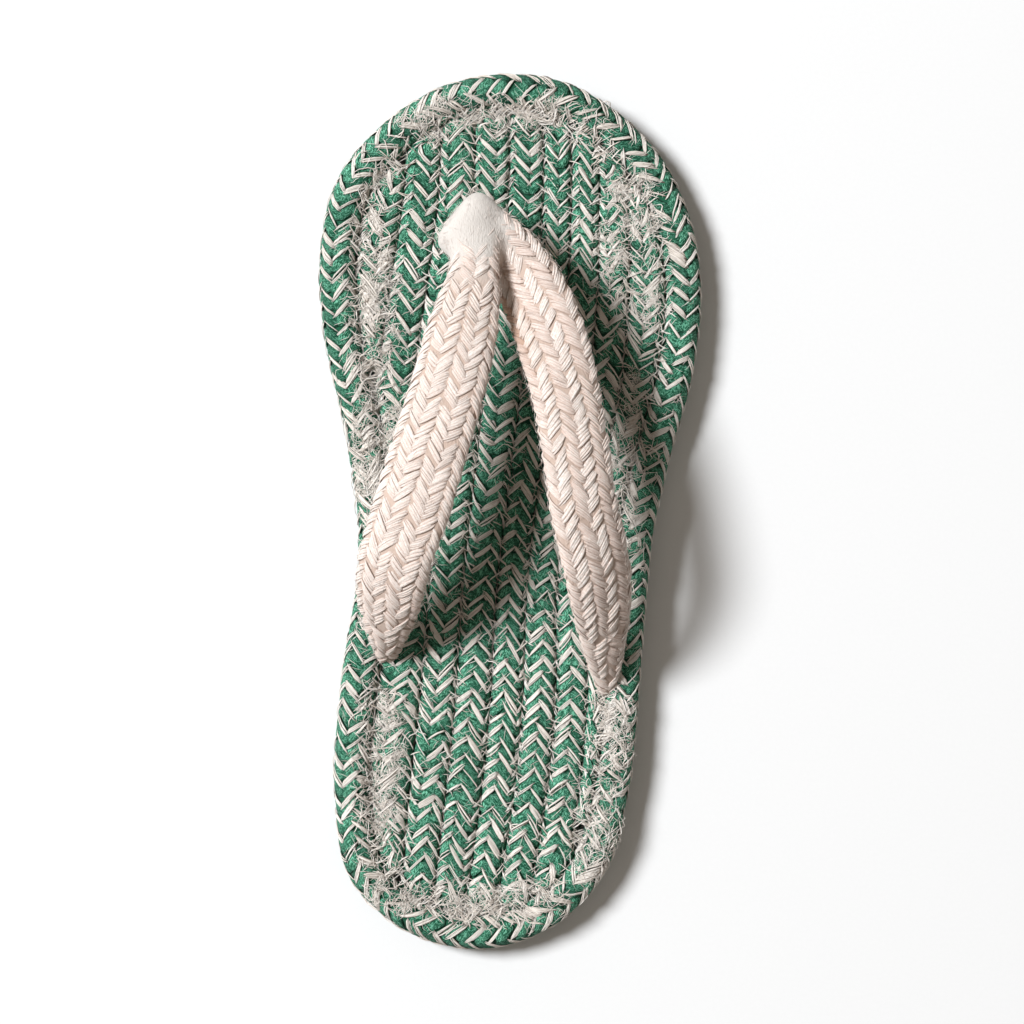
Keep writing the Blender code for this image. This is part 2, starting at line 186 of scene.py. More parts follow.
TOE_POST = named_rows(PostStation, [
    (-11.5, 75.0, 1.2, 2.6, 2.6, 52.0),
    (-11.5, 75.2, 3.0, 3.4, 3.4, 52.0),
    (-11.6, 75.6, 12.0, 3.8, 3.8, 52.0),
    (-12.0, 76.2, 18.0, 4.8, 4.0, 52.0),
    (-12.9, 76.4, 22.6, 7.8, 4.6, 52.0),
    (-13.2, 76.4, 26.2, 9.4, 5.0, 52.0),
    (-13.2, 76.4, 30.0, 9.5, 5.0, 52.0),
    (-13.1, 76.2, 32.0, 8.2, 4.2, 52.0),
    (-12.9, 76.0, 33.4, 5.6, 2.9, 52.0),
    (-12.7, 75.8, 34.2, 2.2, 1.4, 52.0),
])

STRAPS = [
    Strap(
        name="inner_strap", table=INNER_STRAP, rings=130, sunk=(3.0, 17.0), fade=(2.0, 13.0),
        first=1, painted_fold_shade=1.0,
    ),
    Strap(
        name="outer_strap", table=OUTER_STRAP, rings=134, sunk=(5.0, 14.0), fade=(5.5, 15.0),
        first=0, painted_fold_shade=60.0,
    ),
]

# Each mat cord: its place from the keel line, and how its chevrons turn along the foot
MAT_CORDS = {
    "mat_cord_inner_short": (-5, named_rows(Spine, [(40.0, 10.0), (95.0, 8.0)])),
    "mat_cord_inner_half": (-4, named_rows(Spine, [(0.0, 24.0), (50.0, 20.0), (103.0, 23.0)])),
    "mat_cord_inner_side": (-3, named_rows(Spine, [
        (-98.0, -35.0), (-72.0, -28.0), (-58.0, -28.0), (-45.0, -18.0), (-32.0, -10.0),
        (60.0, -25.0), (108.0, -28.0),
    ])),
    "mat_cord_inner_mid": (-2, named_rows(Spine, [
        (-105.0, -34.0), (-92.0, -30.0), (-85.0, -25.0), (-73.0, -15.0), (-60.0, -14.0),
        (-45.0, 0.0), (-20.0, 4.0), (0.0, -8.0), (60.0, 0.0), (95.0, 12.0),
    ])),
    "mat_cord_inner_keel": (-1, named_rows(Spine, [
        (-100.0, -63.0), (-90.0, -61.0), (-75.0, -52.0), (-50.0, -51.0), (-38.0, -35.0),
        (-20.0, -30.0), (-4.0, -21.0), (5.0, -9.0), (48.0, -3.0), (87.0, 7.0), (105.0, 10.0),
    ])),
    "mat_cord_outer_keel": (0, named_rows(Spine, [
        (-100.0, 33.0), (-60.0, 36.0), (10.0, 35.0), (75.0, 6.0), (105.0, 0.0),
    ])),
    "mat_cord_outer_mid": (1, named_rows(Spine, [
        (-100.0, -45.0), (-60.0, -45.0), (-50.0, -39.0), (-35.0, -33.0), (-25.0, -23.0),
        (-10.0, -20.0), (54.0, 20.0), (65.0, 27.0), (87.0, 20.0), (100.0, 30.0),
    ])),
    "mat_cord_outer_side": (2, named_rows(Spine, [
        (-100.0, -47.0), (-85.0, -42.0), (-70.0, -47.0), (38.0, -46.0), (48.0, -9.0),
        (60.0, -14.0), (70.0, -28.0), (93.0, -29.0),
    ])),
    "mat_cord_outer_edge": (3, named_rows(Spine, [(-60.0, -10.0), (56.0, -7.0)])),
}

# A mat cord stops where its lane is narrower than this share of its pitch. Its neighbour
# takes up the room from a little past that place on.
LEAST_LANE = 0.28
WIDEN_AFTER = 4.4
WIDEN_OVER = 4.0

# How the rim's chevrons turn. Its length runs clockwise from the toe's tip, as a share of 1
RIM_SPINES = named_rows(Spine, [
    (0.0, -24.0), (0.07, -30.0), (0.09, -47.0), (0.11, -56.0), (0.126, -32.0), (0.142, -36.0),
    (0.16, -54.0), (0.18, -65.0), (0.25, -68.0), (0.355, -23.0), (0.377, -25.0), (0.4, -41.0),
    (0.431, -56.0), (0.45, -70.0), (0.462, -90.0), (0.485, -106.0), (0.55, -128.0),
    (0.584, -138.0), (0.607, -152.0), (0.629, -160.0), (0.643, -180.0), (0.67, -185.0),
    (0.8, -163.0), (0.935, -165.0), (0.98, -185.0), (1.0, -204.0),
])

# Hollows between the ends of the cords and the rim, which threads are sewn over
HOLLOWS = [(17.9, -88.3), (-38.5, 39.8)]

FRAYS = named_rows(Fray, [
    (-38.5, 3.7, 8.0, 27.0, 0.85), (-38.0, 57.0, 5.5, 30.0, 0.5), (33.5, 72.0, 8.0, 20.0, 0.3),
    (31.8, 10.5, 4.6, 22.0, 0.42), (-36.5, -75.7, 5.5, 29.0, 0.65), (25.5, -77.0, 6.2, 27.0, 0.5),
    (-3.4, 107.5, 27.0, 5.0, 0.4), (-7.0, -106.5, 24.0, 5.0, 0.45), (27.2, -55.7, 4.8, 5.0, 0.9),
    (-39.5, 38.0, 3.5, 5.0, 0.9),
])

# Closed sections of strands, as shares of half the width and of the rise
BAND = [(-1.0, -0.7), (-0.78, 0.55), (0.0, 1.0), (0.78, 0.55), (1.0, -0.7)]
LOW_BAND = [(-1.0, -0.6), (-0.5, 0.7), (0.5, 0.7), (1.0, -0.6)]
PLY = [(-1.0, -0.3), (-0.8, 0.4), (-0.3, 0.95), (0.3, 0.95), (0.8, 0.4), (1.0, -0.3)]
THREAD = [(-1.0, -0.5), (0.0, 1.0), (1.0, -0.5)]

# How far a strap's end tapers to its tip, a mat cord's and the toe post's
END_LENGTH = 3.0
MAT_END_LENGTH = 1.0
POST_END_LENGTH = 0.6

# Threads that would hang over the sole's edge below this height are left out
LOWEST_THREAD = 4.5

# How square the sections of the cords are: 1 is an ellipse, and less is fuller
MAT_POWER = 0.56
RIM_POWER = 0.84
STRAP_POWER = 0.9
KNOB_POWER = 0.54

# The sections that angles are counted on: half a mat cord's width, and half a strap's
# width and thickness, each read at so many places
MAT_HALF_WIDTH = 4.65
STRAP_HALVES = (9.6, 4.0)
SECTION_STEPS = 721

# How many points a smooth path has for each given one, and how far apart along the foot
# the mat's lanes are read
PATH_STEPS = 24
LANE_STEP = 0.25

# Where the sole starts to rise, at the toe and at the waist, and over what length
TOE_RISE = (84.0, 36.0)
WAIST_RISE = (-48.0, 66.0)

# How far the skin of a cord lies outside its width, how much its underside is pressed flat,
# the least height over the floor, and how far a mat cord's ends may lean
RIM_SKIN = -0.1
MAT_SKIN = 0.14
PRESSED_FLAT = 0.75
FLOOR_GAP = 0.03
MOST_LEAN = 0.25

# How far off a cord's surface is read on either side, for its normals
PROBE_ALONG = 0.3
PROBE_AROUND = 0.02

# The cords' smooth cores: their tone, and how much painted shade darkens them where they show
# between the strands
CORE_TONE = 0.5
CORE_HOLLOW = 0.6

# How far a yarn's pattern is moved from strand to strand, by its tone, and the share of a
# strand's half width that the painted shade on its sides leaves light
PATTERN_SHIFT = 37.0
LIGHT_SHARE = 0.4

# How irregular strands are: their ends, where they lie, how they slant and bow, and their
# width and height
END_STRAY = 0.035
SLIP = 0.22
SLANT = 0.07
BOW = 0.14
WIDTH_STRAY = 0.08
HEIGHT_STRAY = 0.05

# A strand's tone: the least, what the painted sheen of strands across the light adds, and what
# chance adds
LEAST_TONE = 0.36
LIT_TONE = 0.32
CHANCE_TONE = 0.28

# Columns of strands round a cord, the room that its first and last strand leave at its
# ends, and the length of its core between two rings of points
COLUMNS = 8
END_ROOM = 0.5
CORE_STEP = 1.6

# Into how many segments the cores are divided: round the mat cords, the rim, the straps and
# the post, and along the rim and the post
MAT_SIDES = 16
RIM_SIDES = 18
STRAP_SIDES = 40
POST_SIDES = 36
RIM_RINGS = 380
POST_RINGS = 60

# The angles round a cord between which its strands can show
MAT_SHOWN = (-1.45, 1.45)
RIM_SHOWN = (-1.5, 2.0)

# Cream plies: how many a strand has and how often, how far apart they lie, and how often
# and how far one lies off on its own
CREAM_PLIES = ([1, 2, 3, 4, 5], [0.07, 0.25, 0.36, 0.22, 0.1])
PLY_SPACING = 0.52
LOOSE_PLIES = 0.06
LOOSE_PLY_OFFSET = 0.75

# Worn strands that have faded to cream: how often, and their plies and spacing
FADED_CHANCE = 0.15
FADED_PLIES = 7
FADED_SPACING = 0.54

# Short fibres on the straps and the knob: half their width, and how it tapers
FUZZ_HALF_WIDTH = (0.022, 0.045)
FUZZ_TAPER = np.array([1.0, 0.95, 0.85, 0.65, 0.2])

# The share of a strap's fibres that stand at its edges, and the width of a strap's face,
# over which its angle runs from 0 to 1
FUZZ_AT_EDGE = 0.75
FACE_WIDTH = 21.0

# The slants of loose strands and hairs, and of the threads across the joints and the rim's
LOOSE_SLANT = 0.75
THREAD_SLANT = 0.6
RIM_THREAD_SLANT = 0.7

# How far out loose threads are tried, and hairs along the foot, how many places are tried
# at a time, and how much painted shade the lowest threads get
REACH_X = 50
REACH_Y = 116
HAIR_REACH_Y = 115
TRIES = 4000
LOW_THREAD_SHADE = 0.3

# For how many places at a time the distance to the rim is worked out
CHUNK = 4000

# Frayed strands: how many plies one has and how often, and how far apart they lie
FRAYED_PLIES = ([1, 2, 3], [0.4, 0.35, 0.25])
FRAYED_SPACING = 0.3

# Fluff: the share of it that is matted, and how many fibres a tuft has
MATTED = 0.62
TUFT = 40

# How many threads lie across each end of a cord, and across each hollow
THREADS_AT_END = 34
THREADS_AT_HOLLOW = 60

# The straps' widths from which they have all their columns of strands, and four, and the
# width of a column that squeezes no strand
ALL_COLUMNS_FROM = 14.5
FOUR_COLUMNS_FROM = 8.5
COLUMN_WIDTH = 3.15

# The plies of a strap's strand: how many it has and how often, how far the outer ones lie
# below the middle, how much it leans, and how far it sinks where the braid fades out
STRAP_PLIES = ([3, 4, 5], [0.3, 0.5, 0.2])
PLY_DROP = 0.42
PLY_LEAN = 0.08
FADE_SINK = 0.42

# Where the braid covers the padding, along the foot, and how much further forward it does
# on the outer side of the given place. Covered padding gets this much painted shade, where
# it shows between the strands.
COVERED = (57.0, 71.0)
OUTER_SIDE = -7
OUTER_FORWARD = 6.0
COVERED_HOLLOW = 0.75

# The height of what lies between the cords, and how far threads may hang over the outline
GROUND_HEIGHT = 2.5
THREAD_OVERHANG = 0.6

# What counts as the knob of the upper, in metres along the foot and over the floor
KNOB_FROM = (0.062, 0.018)
KNOB_ROUNDS = 10

# Colours of the yarns' painted glints and dark fibres, and of the brushed cotton's three shades
CREAM_LIGHT = (0.98, 0.95, 0.91)
CREAM_SHADE = (0.80, 0.715, 0.63)
STRAP_LIGHT = (0.92, 0.88, 0.85)
STRAP_SHADE = (0.68, 0.53, 0.46)
COTTON = ((0.61, 0.575, 0.54), (0.565, 0.52, 0.48), (0.50, 0.43, 0.375))

# The stage, in metres: where the camera stands along the foot and looks, and the lamp
CAMERA_ALONG = 0.0018
CAMERA_AIM = (0.0, 0.0, 0.010)
KEY_SIZE = 1.26
KEY_DIRECTION = (-0.894, 0.361, 1.04)
KEY_DISTANCE = 3
KEY_COLOUR = (0.95, 0.975, 1.0)
ROOM_COLOUR = (1.0, 0.89, 0.78, 1.0)
WALL_COLOUR = (0.94, 0.94, 0.935, 1.0)
FLOOR_SHADES = (0.71, 0.73)
FLOOR_GRAIN = 900.0


class Lay(NamedTuple):
    """How strands lie on a cord. The crown is the height of a strand's top in its middle,
    and the sink the height at its ends. The reach is how far its ends go on, as a share.
    The edge and the shade are how much painted shade its sides and its ends get. Its plies
    gather at the ends, and its front end may lie over what its back end dives under."""

    half_width: float
    rise: float
    crown: float
    sink: float
    reach: float
    blunt: float
    steps: int
    section: list
    material: int
    stray: float
    edge: float
    shade: float
    shift: float = 0.0
    gather: float = 0.6
    dive: float = 0.0


GREEN = Lay(
    half_width=1.68, rise=0.42, crown=0.06, sink=-0.22, reach=0.06, blunt=9.0, steps=6,
    section=BAND, material=1, stray=1.0, edge=0.95, shade=0.5,
)
GREEN_BELOW = Lay(
    half_width=1.7, rise=0.45, crown=0.1, sink=-0.4, reach=0.04, blunt=8.0, steps=3,
    section=LOW_BAND, material=1, stray=0.7, edge=0.5, shade=0.5,
)
CREAM = Lay(
    half_width=0.28, rise=0.13, crown=0.32, sink=-0.08, reach=0.1, blunt=4.0, steps=5,
    section=THREAD, material=2, stray=1.8, edge=0.75, shade=0.3,
)
CREAM_BELOW = Lay(
    half_width=0.7, rise=0.3, crown=0.25, sink=-0.4, reach=0.06, blunt=3.0, steps=3,
    section=LOW_BAND, material=2, stray=0.7, edge=0.4, shade=0.6,
)
STRAP_FACE = Lay(
    half_width=0.38, rise=0.22, crown=0.2, sink=-0.6, reach=0.1, blunt=4.0, steps=7,
    section=PLY, material=0, stray=1.7, edge=0.85, shade=0.95, shift=0.0, gather=0.42,
    dive=0.6,
)
STRAP_BACK = Lay(
    half_width=1.15, rise=0.4, crown=0.1, sink=-0.5, reach=0.1, blunt=5.0, steps=4,
    section=LOW_BAND, material=0, stray=0.6, edge=0.7, shade=0.8,
)

# The direction in which strands are painted lightest, as fibres across the light from the left
# shine: from +X
LIT_HEADING = math.radians(68.0)


class SlipperSole(bpy.types.PropertyGroup):
    """Sizes of the sole and its braids."""

    rim_width: FloatProperty(
        name="Rim width", description="Width of the cord round the sole", default=0.010,
        unit="LENGTH",
    )
    rim_height: FloatProperty(
        name="Rim height", description="Height of the cord round the sole", default=0.0116,
        unit="LENGTH",
    )
    mat_height: FloatProperty(
        name="Mat height", description="Height of the cords side by side", default=0.010,
        unit="LENGTH",
    )
    piece_gap: FloatProperty(
        name="Gap", description="Gap between neighbouring cords", default=0.0003, unit="LENGTH"
    )
    toe_spring: FloatProperty(
        name="Toe spring", description="Rise of the sole at the toe", default=0.0025,
        unit="LENGTH",
    )
    waist_arch: FloatProperty(
        name="Waist arch", description="Rise of the sole at the waist", default=0.0006,
        unit="LENGTH",
    )
    strand_pitch: FloatProperty(
        name="Strand pitch", description="Length of mat cord per chevron", default=0.0044,
        unit="LENGTH",
    )
    strand_lead: FloatProperty(
        name="Strand lead", description="How far a chevron's arm runs along", default=0.0044,
        unit="LENGTH",
    )
    rim_pitch: FloatProperty(
        name="Rim pitch", description="Length of rim per chevron", default=0.00475, unit="LENGTH"
    )
    rim_lead: FloatProperty(
        name="Rim lead", description="How far an arm runs along the rim", default=0.0041,
        unit="LENGTH",
    )
    core_depth: FloatProperty(
        name="Core depth", description="Depth of the core below the strands", default=0.0006,
        unit="LENGTH",
    )


class SlipperStraps(bpy.types.PropertyGroup):
    """Sizes of the straps' braid."""

    strand_pitch: FloatProperty(
        name="Strand pitch", description="Length of strap per strand", default=0.0034,
        unit="LENGTH",
    )
    strand_lead: FloatProperty(
        name="Strand lead", description="How far a strand runs along the strap", default=0.0035,
        unit="LENGTH",
    )
    core_depth: FloatProperty(
        name="Core depth", description="Depth of the padding below the strands", default=0.00035,
        unit="LENGTH",
    )
    columns: IntProperty(
        name="Columns", description="Columns of strands across a strap's face", default=6, min=2
    )
    voxel: FloatProperty(
        name="Voxel", description="Fineness of the join of the straps and the knob", default=0.001,
        unit="LENGTH",
    )


class SlipperCloth(bpy.types.PropertyGroup):
    """Colours of the yarns, and how frayed they are."""

    green: FloatVectorProperty(
        name="Green", description="Green yarn", default=(0.0125, 0.108, 0.055), size=3,
        subtype="COLOR",
    )
    # Light green: painted glints on the green fibres
    light_green: FloatVectorProperty(
        name="Light green", description="Fibres that catch the light", default=(0.27, 0.72, 0.50),
        size=3, subtype="COLOR",
    )
    # Deep green: the green's darkest fibres, and its painted shade in hollows
    deep_green: FloatVectorProperty(
        name="Deep green", description="Green yarn in its hollows", default=(0.0025, 0.034, 0.019),
        size=3, subtype="COLOR",
    )
    cream: FloatVectorProperty(
        name="Cream", description="Cream yarn", default=(0.97, 0.915, 0.85), size=3, subtype="COLOR"
    )
    # Tan: the cream's painted shade in hollows and under low threads, and the tan that some loose
    # threads have at random
    tan: FloatVectorProperty(
        name="Tan", description="Cream yarn in its hollows", default=(0.44, 0.33, 0.24), size=3,
        subtype="COLOR",
    )
    strap: FloatVectorProperty(
        name="Strap", description="Cotton of the straps", default=(0.775, 0.685, 0.62), size=3,
        subtype="COLOR",
    )
    # Blush: the cotton's painted shade in the braid's hollows, beside the fold and where the
    # padding shows
    blush: FloatVectorProperty(
        name="Blush", description="Cotton in the hollows of the straps", default=(0.45, 0.26, 0.17),
        size=3, subtype="COLOR",
    )
    fluff: IntProperty(name="Fluff", description="Loose fibres on the sole", default=4200, min=0)
    ribbons: IntProperty(
        name="Ribbons", description="Loose strands on the sole", default=440, min=0
    )
    hairs: IntProperty(
        name="Hairs", description="Thin fibres all over the sole", default=2200, min=0
    )
    fuzz: IntProperty(
        name="Fuzz", description="Fibres that stand off the straps", default=2000, min=0
    )
    seed: IntProperty(name="Seed", description="Seed of everything irregular", default=7)


class SlipperStage(bpy.types.PropertyGroup):
    """Camera and light."""

    camera_height: FloatProperty(
        name="Camera height", description="Height of the camera over the floor", default=0.75,
        unit="LENGTH",
    )
    camera_side: FloatProperty(
        name="Camera side", description="Place of the camera across the foot", default=-0.0549,
        unit="LENGTH",
    )
    lens: FloatProperty(name="Lens", description="Focal length in millimetres", default=95.4)
    key_power: FloatProperty(name="Key light", description="Power of the key light", default=300.0)
    fill: FloatProperty(name="Fill light", description="Strength of the fill light", default=0.26)


def mm(length):
    """A length in metres as millimetres."""
    return length / MM


def smooth_path(points, closed=False):
    """Close points along a smooth curve through the given ones."""
    points = np.asarray(points, dtype=float)
    count = len(points)
    chords = np.roll(points, -1, axis=0) - points
    lengths = np.linalg.norm(chords[:, :3], axis=1)
    slopes = chords / lengths[:, None]
    back, back_length = np.roll(slopes, 1, axis=0), np.roll(lengths, 1)
    total = (lengths + back_length)[:, None]
    tangents = (back * lengths[:, None] + slopes * back_length[:, None]) / total
    if not closed:
        tangents[0], tangents[-1] = slopes[0], slopes[-2]
    line = []
    for i in range(count if closed else count - 1):
        start, end = points[i], points[(i + 1) % count]
        for t in np.arange(PATH_STEPS) / PATH_STEPS:
            line.append(
                start * (2 * t**3 - 3 * t**2 + 1)
                + tangents[i] * lengths[i] * (t**3 - 2 * t**2 + t)
                + end * (3 * t**2 - 2 * t**3)
                + tangents[(i + 1) % count] * lengths[i] * (t**3 - t**2)
            )
    line.append(points[0] if closed else points[-1])
    return np.array(line)


def run_lengths(line):
    """Distance from the start of a line to each of its points."""
    steps = np.linalg.norm(np.diff(line, axis=0), axis=1)
    return np.concatenate([[0.0], np.cumsum(steps)])


def read_columns(values, stations, at):
    """Each column of values, read between its stations. The columns come last."""
    return np.stack([np.interp(at, stations, values[:, i]) for i in range(values.shape[1])], -1)


def unit(vectors):
    """Vectors at length 1."""
    return vectors / np.maximum(np.linalg.norm(vectors, axis=-1, keepdims=True), 1e-9)


def ease(value, low, high):
    """A smooth step from 0 at low to 1 at high."""
    t = np.clip((value - low) / (high - low), 0.0, 1.0)
    return t * t * (3 - 2 * t)


def rounded(wave, power):
    """A sine or cosine made squarer, for a fuller section."""
    return np.sign(wave) * np.abs(wave) ** power


def floor_lift(sole, y):
    """Height of the underside over the floor."""
    toe = np.clip((y - TOE_RISE[0]) / TOE_RISE[1], 0.0, None)
    waist = np.clip((y - WAIST_RISE[0]) / WAIST_RISE[1], 0.0, 1.0)
    return mm(sole.toe_spring) * toe**2 + mm(sole.waist_arch) * np.sin(math.pi * waist) ** 2


class Cord(NamedTuple):
    """A cord: the stretch it covers, and the function that places points on it."""

    start: float
    end: float
    place: object


def end_round(along, start, end, length=END_LENGTH):
    """How much of a cord's section is left near its ends."""
    near = np.clip(np.minimum(along - start, end - along) / length, 0.0, 1.0)
    return np.sqrt(1 - (1 - near) ** 2)


def cord_section(half_width, half_height, power):
    """Reads a cord's section: shares of half the width and height at an angle. The angle
    counts even lengths of the cord's skin from its top."""
    turn = np.linspace(0.0, 2 * math.pi, SECTION_STEPS)
    across, up = rounded(np.sin(turn), power), rounded(np.cos(turn), power)
    lengths = run_lengths(np.stack([half_width * across, half_height * up], axis=1))
    angles = lengths / lengths[-1] * 2 * math.pi

    def read(angle):
        angle = angle % (2 * math.pi)
        return np.interp(angle, angles, across), np.interp(angle, angles, up)

    return read


def section_height(up, half_height, height, scale=1.0):
    """Height of a cord's skin over the floor: round on top, and pressed flat below."""
    reach = np.where(up > 0, half_height + height, half_height - PRESSED_FLAT + height)
    return half_height + reach * up * scale


def rim_line(inset):
    """The sole's outline moved inwards, clockwise from the toe's tip, and its normals."""
    line = smooth_path([(p.x, p.y) for p in EDGE], closed=True)[:-1]
    ahead = np.roll(line, -1, axis=0) - np.roll(line, 1, axis=0)
    normals = unit(np.stack([-ahead[:, 1], ahead[:, 0]], axis=1))
    line = line - normals * inset
    return np.vstack([line, line[:1]]), np.vstack([normals, normals[:1]])


def rim_cord(sole):
    """The cord round the sole. Angle 0 is its top, and positive angles look outwards."""
    half_width, half_height = mm(sole.rim_width) / 2, mm(sole.rim_height) / 2
    line, normals = rim_line(half_width)
    lengths = run_lengths(line)
    table = np.hstack([line, normals])
    section = cord_section(half_width, half_height, RIM_POWER)

    def place(along, angle, height):
        x, y, out_x, out_y = np.moveaxis(read_columns(table, lengths, along % lengths[-1]), -1, 0)
        across, up = section(angle)
        side = (half_width + RIM_SKIN + height) * across
        z = section_height(up, half_height, height) + floor_lift(sole, y)
        return np.stack([x + out_x * side, y + out_y * side, np.maximum(z, FLOOR_GAP)], -1)

    return Cord(0.0, lengths[-1], place)


def mat_lanes(sole):
    """The lane of each mat cord: rows of the distance along the foot, the lane's left and
    right side, and the rim's on either side."""
    inside, _ = rim_line(mm(sole.rim_width))
    gap = mm(sole.piece_gap)
    spread = smooth_path([(row.y, row.keel, row.inner_pitch, row.outer_pitch) for row in MAT])
    lanes = {index: [] for index, _ in MAT_CORDS.values()}
    x, along = inside[:, 0], inside[:, 1]
    for y in np.arange(spread[0, 0], spread[-1, 0], LANE_STEP):
        crossing = (along[:-1] - y) * (along[1:] - y) < 0
        if crossing.sum() < 2:
            continue
        share = (y - along[:-1][crossing]) / (along[1:][crossing] - along[:-1][crossing])
        hits = x[:-1][crossing] + share * (x[1:][crossing] - x[:-1][crossing])
        rim_left, rim_right = hits.min() + gap, hits.max() - gap
        keel, inner_pitch, outer_pitch = read_columns(spread[:, 1:], spread[:, 0], y)
        for index, lane in lanes.items():
            pitch = inner_pitch if index < 0 else outer_pitch
            left = max(keel + pitch * index + gap / 2, rim_left)
            right = min(keel + pitch * (index + 1) - gap / 2, rim_right)
            if right - left > LEAST_LANE * pitch:
                lane.append((y, left, right, rim_left, rim_right))
    return {index: np.array(lane) for index, lane in lanes.items()}


def mat_limits(sole, index):
    """Distances along the foot, with the centre and half width of a mat cord at each. It
    reaches the rim where it has no neighbour, or the neighbour has stopped."""
    lanes = mat_lanes(sole)
    y, left, right, rim_left, rim_right = lanes[index].T

    def free(neighbour):
        if neighbour not in lanes:
            return 1.0
        past = np.maximum(lanes[neighbour][0, 0] - y, y - lanes[neighbour][-1, 0])
        return np.clip((past - WIDEN_AFTER) / WIDEN_OVER, 0.0, 1.0)

    left = left - (left - rim_left) * free(index - 1)
    right = right + (rim_right - right) * free(index + 1)
    return np.stack([y, (left + right) / 2, (right - left) / 2], -1)


def mat_cord(sole, index):
    """A lengthwise cord. Angle 0 is its top, and positive angles look to the outer side."""
    half_height = mm(sole.mat_height) / 2
    limits = mat_limits(sole, index)
    start, end = limits[0, 0], limits[-1, 0]
    lean = np.clip(np.gradient(limits[:, 1], limits[:, 0]), -MOST_LEAN, MOST_LEAN)
    limits = np.column_stack([limits, lean])
    section = cord_section(MAT_HALF_WIDTH, half_height, MAT_POWER)

    def place(along, angle, height):
        columns = read_columns(limits[:, 1:], limits[:, 0], along)
        centre, half_width, lean = np.moveaxis(columns, -1, 0)
        scale = end_round(along, start, end, MAT_END_LENGTH)
        across, up = section(angle)
        side = (half_width + MAT_SKIN + height) * scale * across
        z = section_height(up, half_height, height, scale) + floor_lift(sole, along)
        return np.stack([centre + side, along - side * lean, np.maximum(z, FLOOR_GAP)], -1)

    return Cord(start, end, place)


def strap_cord(table):
    """A strap. Its angle runs from 0 at the left edge over the face to 1 at the right
    edge, and on to 2 across the back."""
    line = smooth_path([(p.x, p.y, p.z) for p in table])
    lengths = run_lengths(line)
    sizes = np.array([(p.width / 2, p.thick / 2, math.radians(p.bank)) for p in table])
    forward = unit(np.gradient(line, axis=0))
    side = unit(np.cross((0.0, 0.0, 1.0), forward))
    face = np.cross(forward, side)
    widths, thicks, banks = np.moveaxis(read_columns(sizes, lengths[::PATH_STEPS], lengths), -1, 0)
    cos, sin = np.cos(banks)[:, None], np.sin(banks)[:, None]
    across, up = side * cos - face * sin, face * cos + side * sin
    frames = np.hstack([line, across, up, widths[:, None], thicks[:, None]])
    turn = np.linspace(math.pi, -math.pi, SECTION_STEPS)
    outline = [rounded(np.cos(turn), STRAP_POWER), rounded(np.sin(turn), STRAP_POWER)]
    outline = np.stack(outline, axis=1) * STRAP_HALVES
    shares = run_lengths(outline)
    shares = shares / shares[-1] * 2

    def place(along, around, height):
        rows = read_columns(frames, lengths, np.clip(along, 0.0, lengths[-1]))
        centre, across, up = rows[..., 0:3], rows[..., 3:6], rows[..., 6:9]
        angle = np.interp(around % 2.0, shares, turn)
        scale = end_round(along, 0.0, lengths[-1])
        x = rounded(np.cos(angle), STRAP_POWER) * (rows[..., 9] + height) * scale
        z = rounded(np.sin(angle), STRAP_POWER) * (rows[..., 10] + height) * scale
        return centre + across * x[..., None] + up * z[..., None]

    return Cord(0.0, lengths[-1], place)


def post_cord():
    """The toe post with its knob, placed by its height and an angle round it."""
    stations = np.array(TOE_POST)
    table = smooth_path(stations[:, [2, 0, 1, 3, 4, 5]])
    low, high = stations[0, 2], stations[-1, 2]

    def place(along, angle, height):
        columns = read_columns(table[:, 1:], table[:, 0], along)
        x, y, long_half, short_half, turn = np.moveaxis(columns, -1, 0)
        scale = end_round(along, low, high, POST_END_LENGTH)
        turn = np.radians(turn)
        u = (long_half + height) * rounded(np.cos(angle), KNOB_POWER) * scale
        v = (short_half + height) * rounded(np.sin(angle), KNOB_POWER) * scale
        x = x + u * np.cos(turn) - v * np.sin(turn)
        y = y + u * np.sin(turn) + v * np.cos(turn)
        return np.stack([x, y, along], -1)

    return Cord(low, high, place)


def surface_normals(cord, along, around):
    """Normals that point out of a cord, away from its middle."""
    still = np.zeros_like(along)
    centre = cord.place(along, around, still)
    raised = cord.place(along, around, still + 1.0)
    ahead = cord.place(along + PROBE_ALONG, around, still)
    behind = cord.place(along - PROBE_ALONG, around, still)
    left = cord.place(along, around - PROBE_AROUND, still)
    right = cord.place(along, around + PROBE_AROUND, still)
    normal = unit(np.cross(right - left, ahead - behind))
    flip = np.sum(normal * (raised - centre), axis=-1, keepdims=True)
    return normal * np.where(flip < 0, -1.0, 1.0)


class Part(NamedTuple):
    """Points and faces, with the yarn's own coordinates, tone and amount of painted shade at each
    point.
    """

    points: np.ndarray
    faces: list
    yarn: np.ndarray
    tone: np.ndarray
    hollow: np.ndarray
    material: int


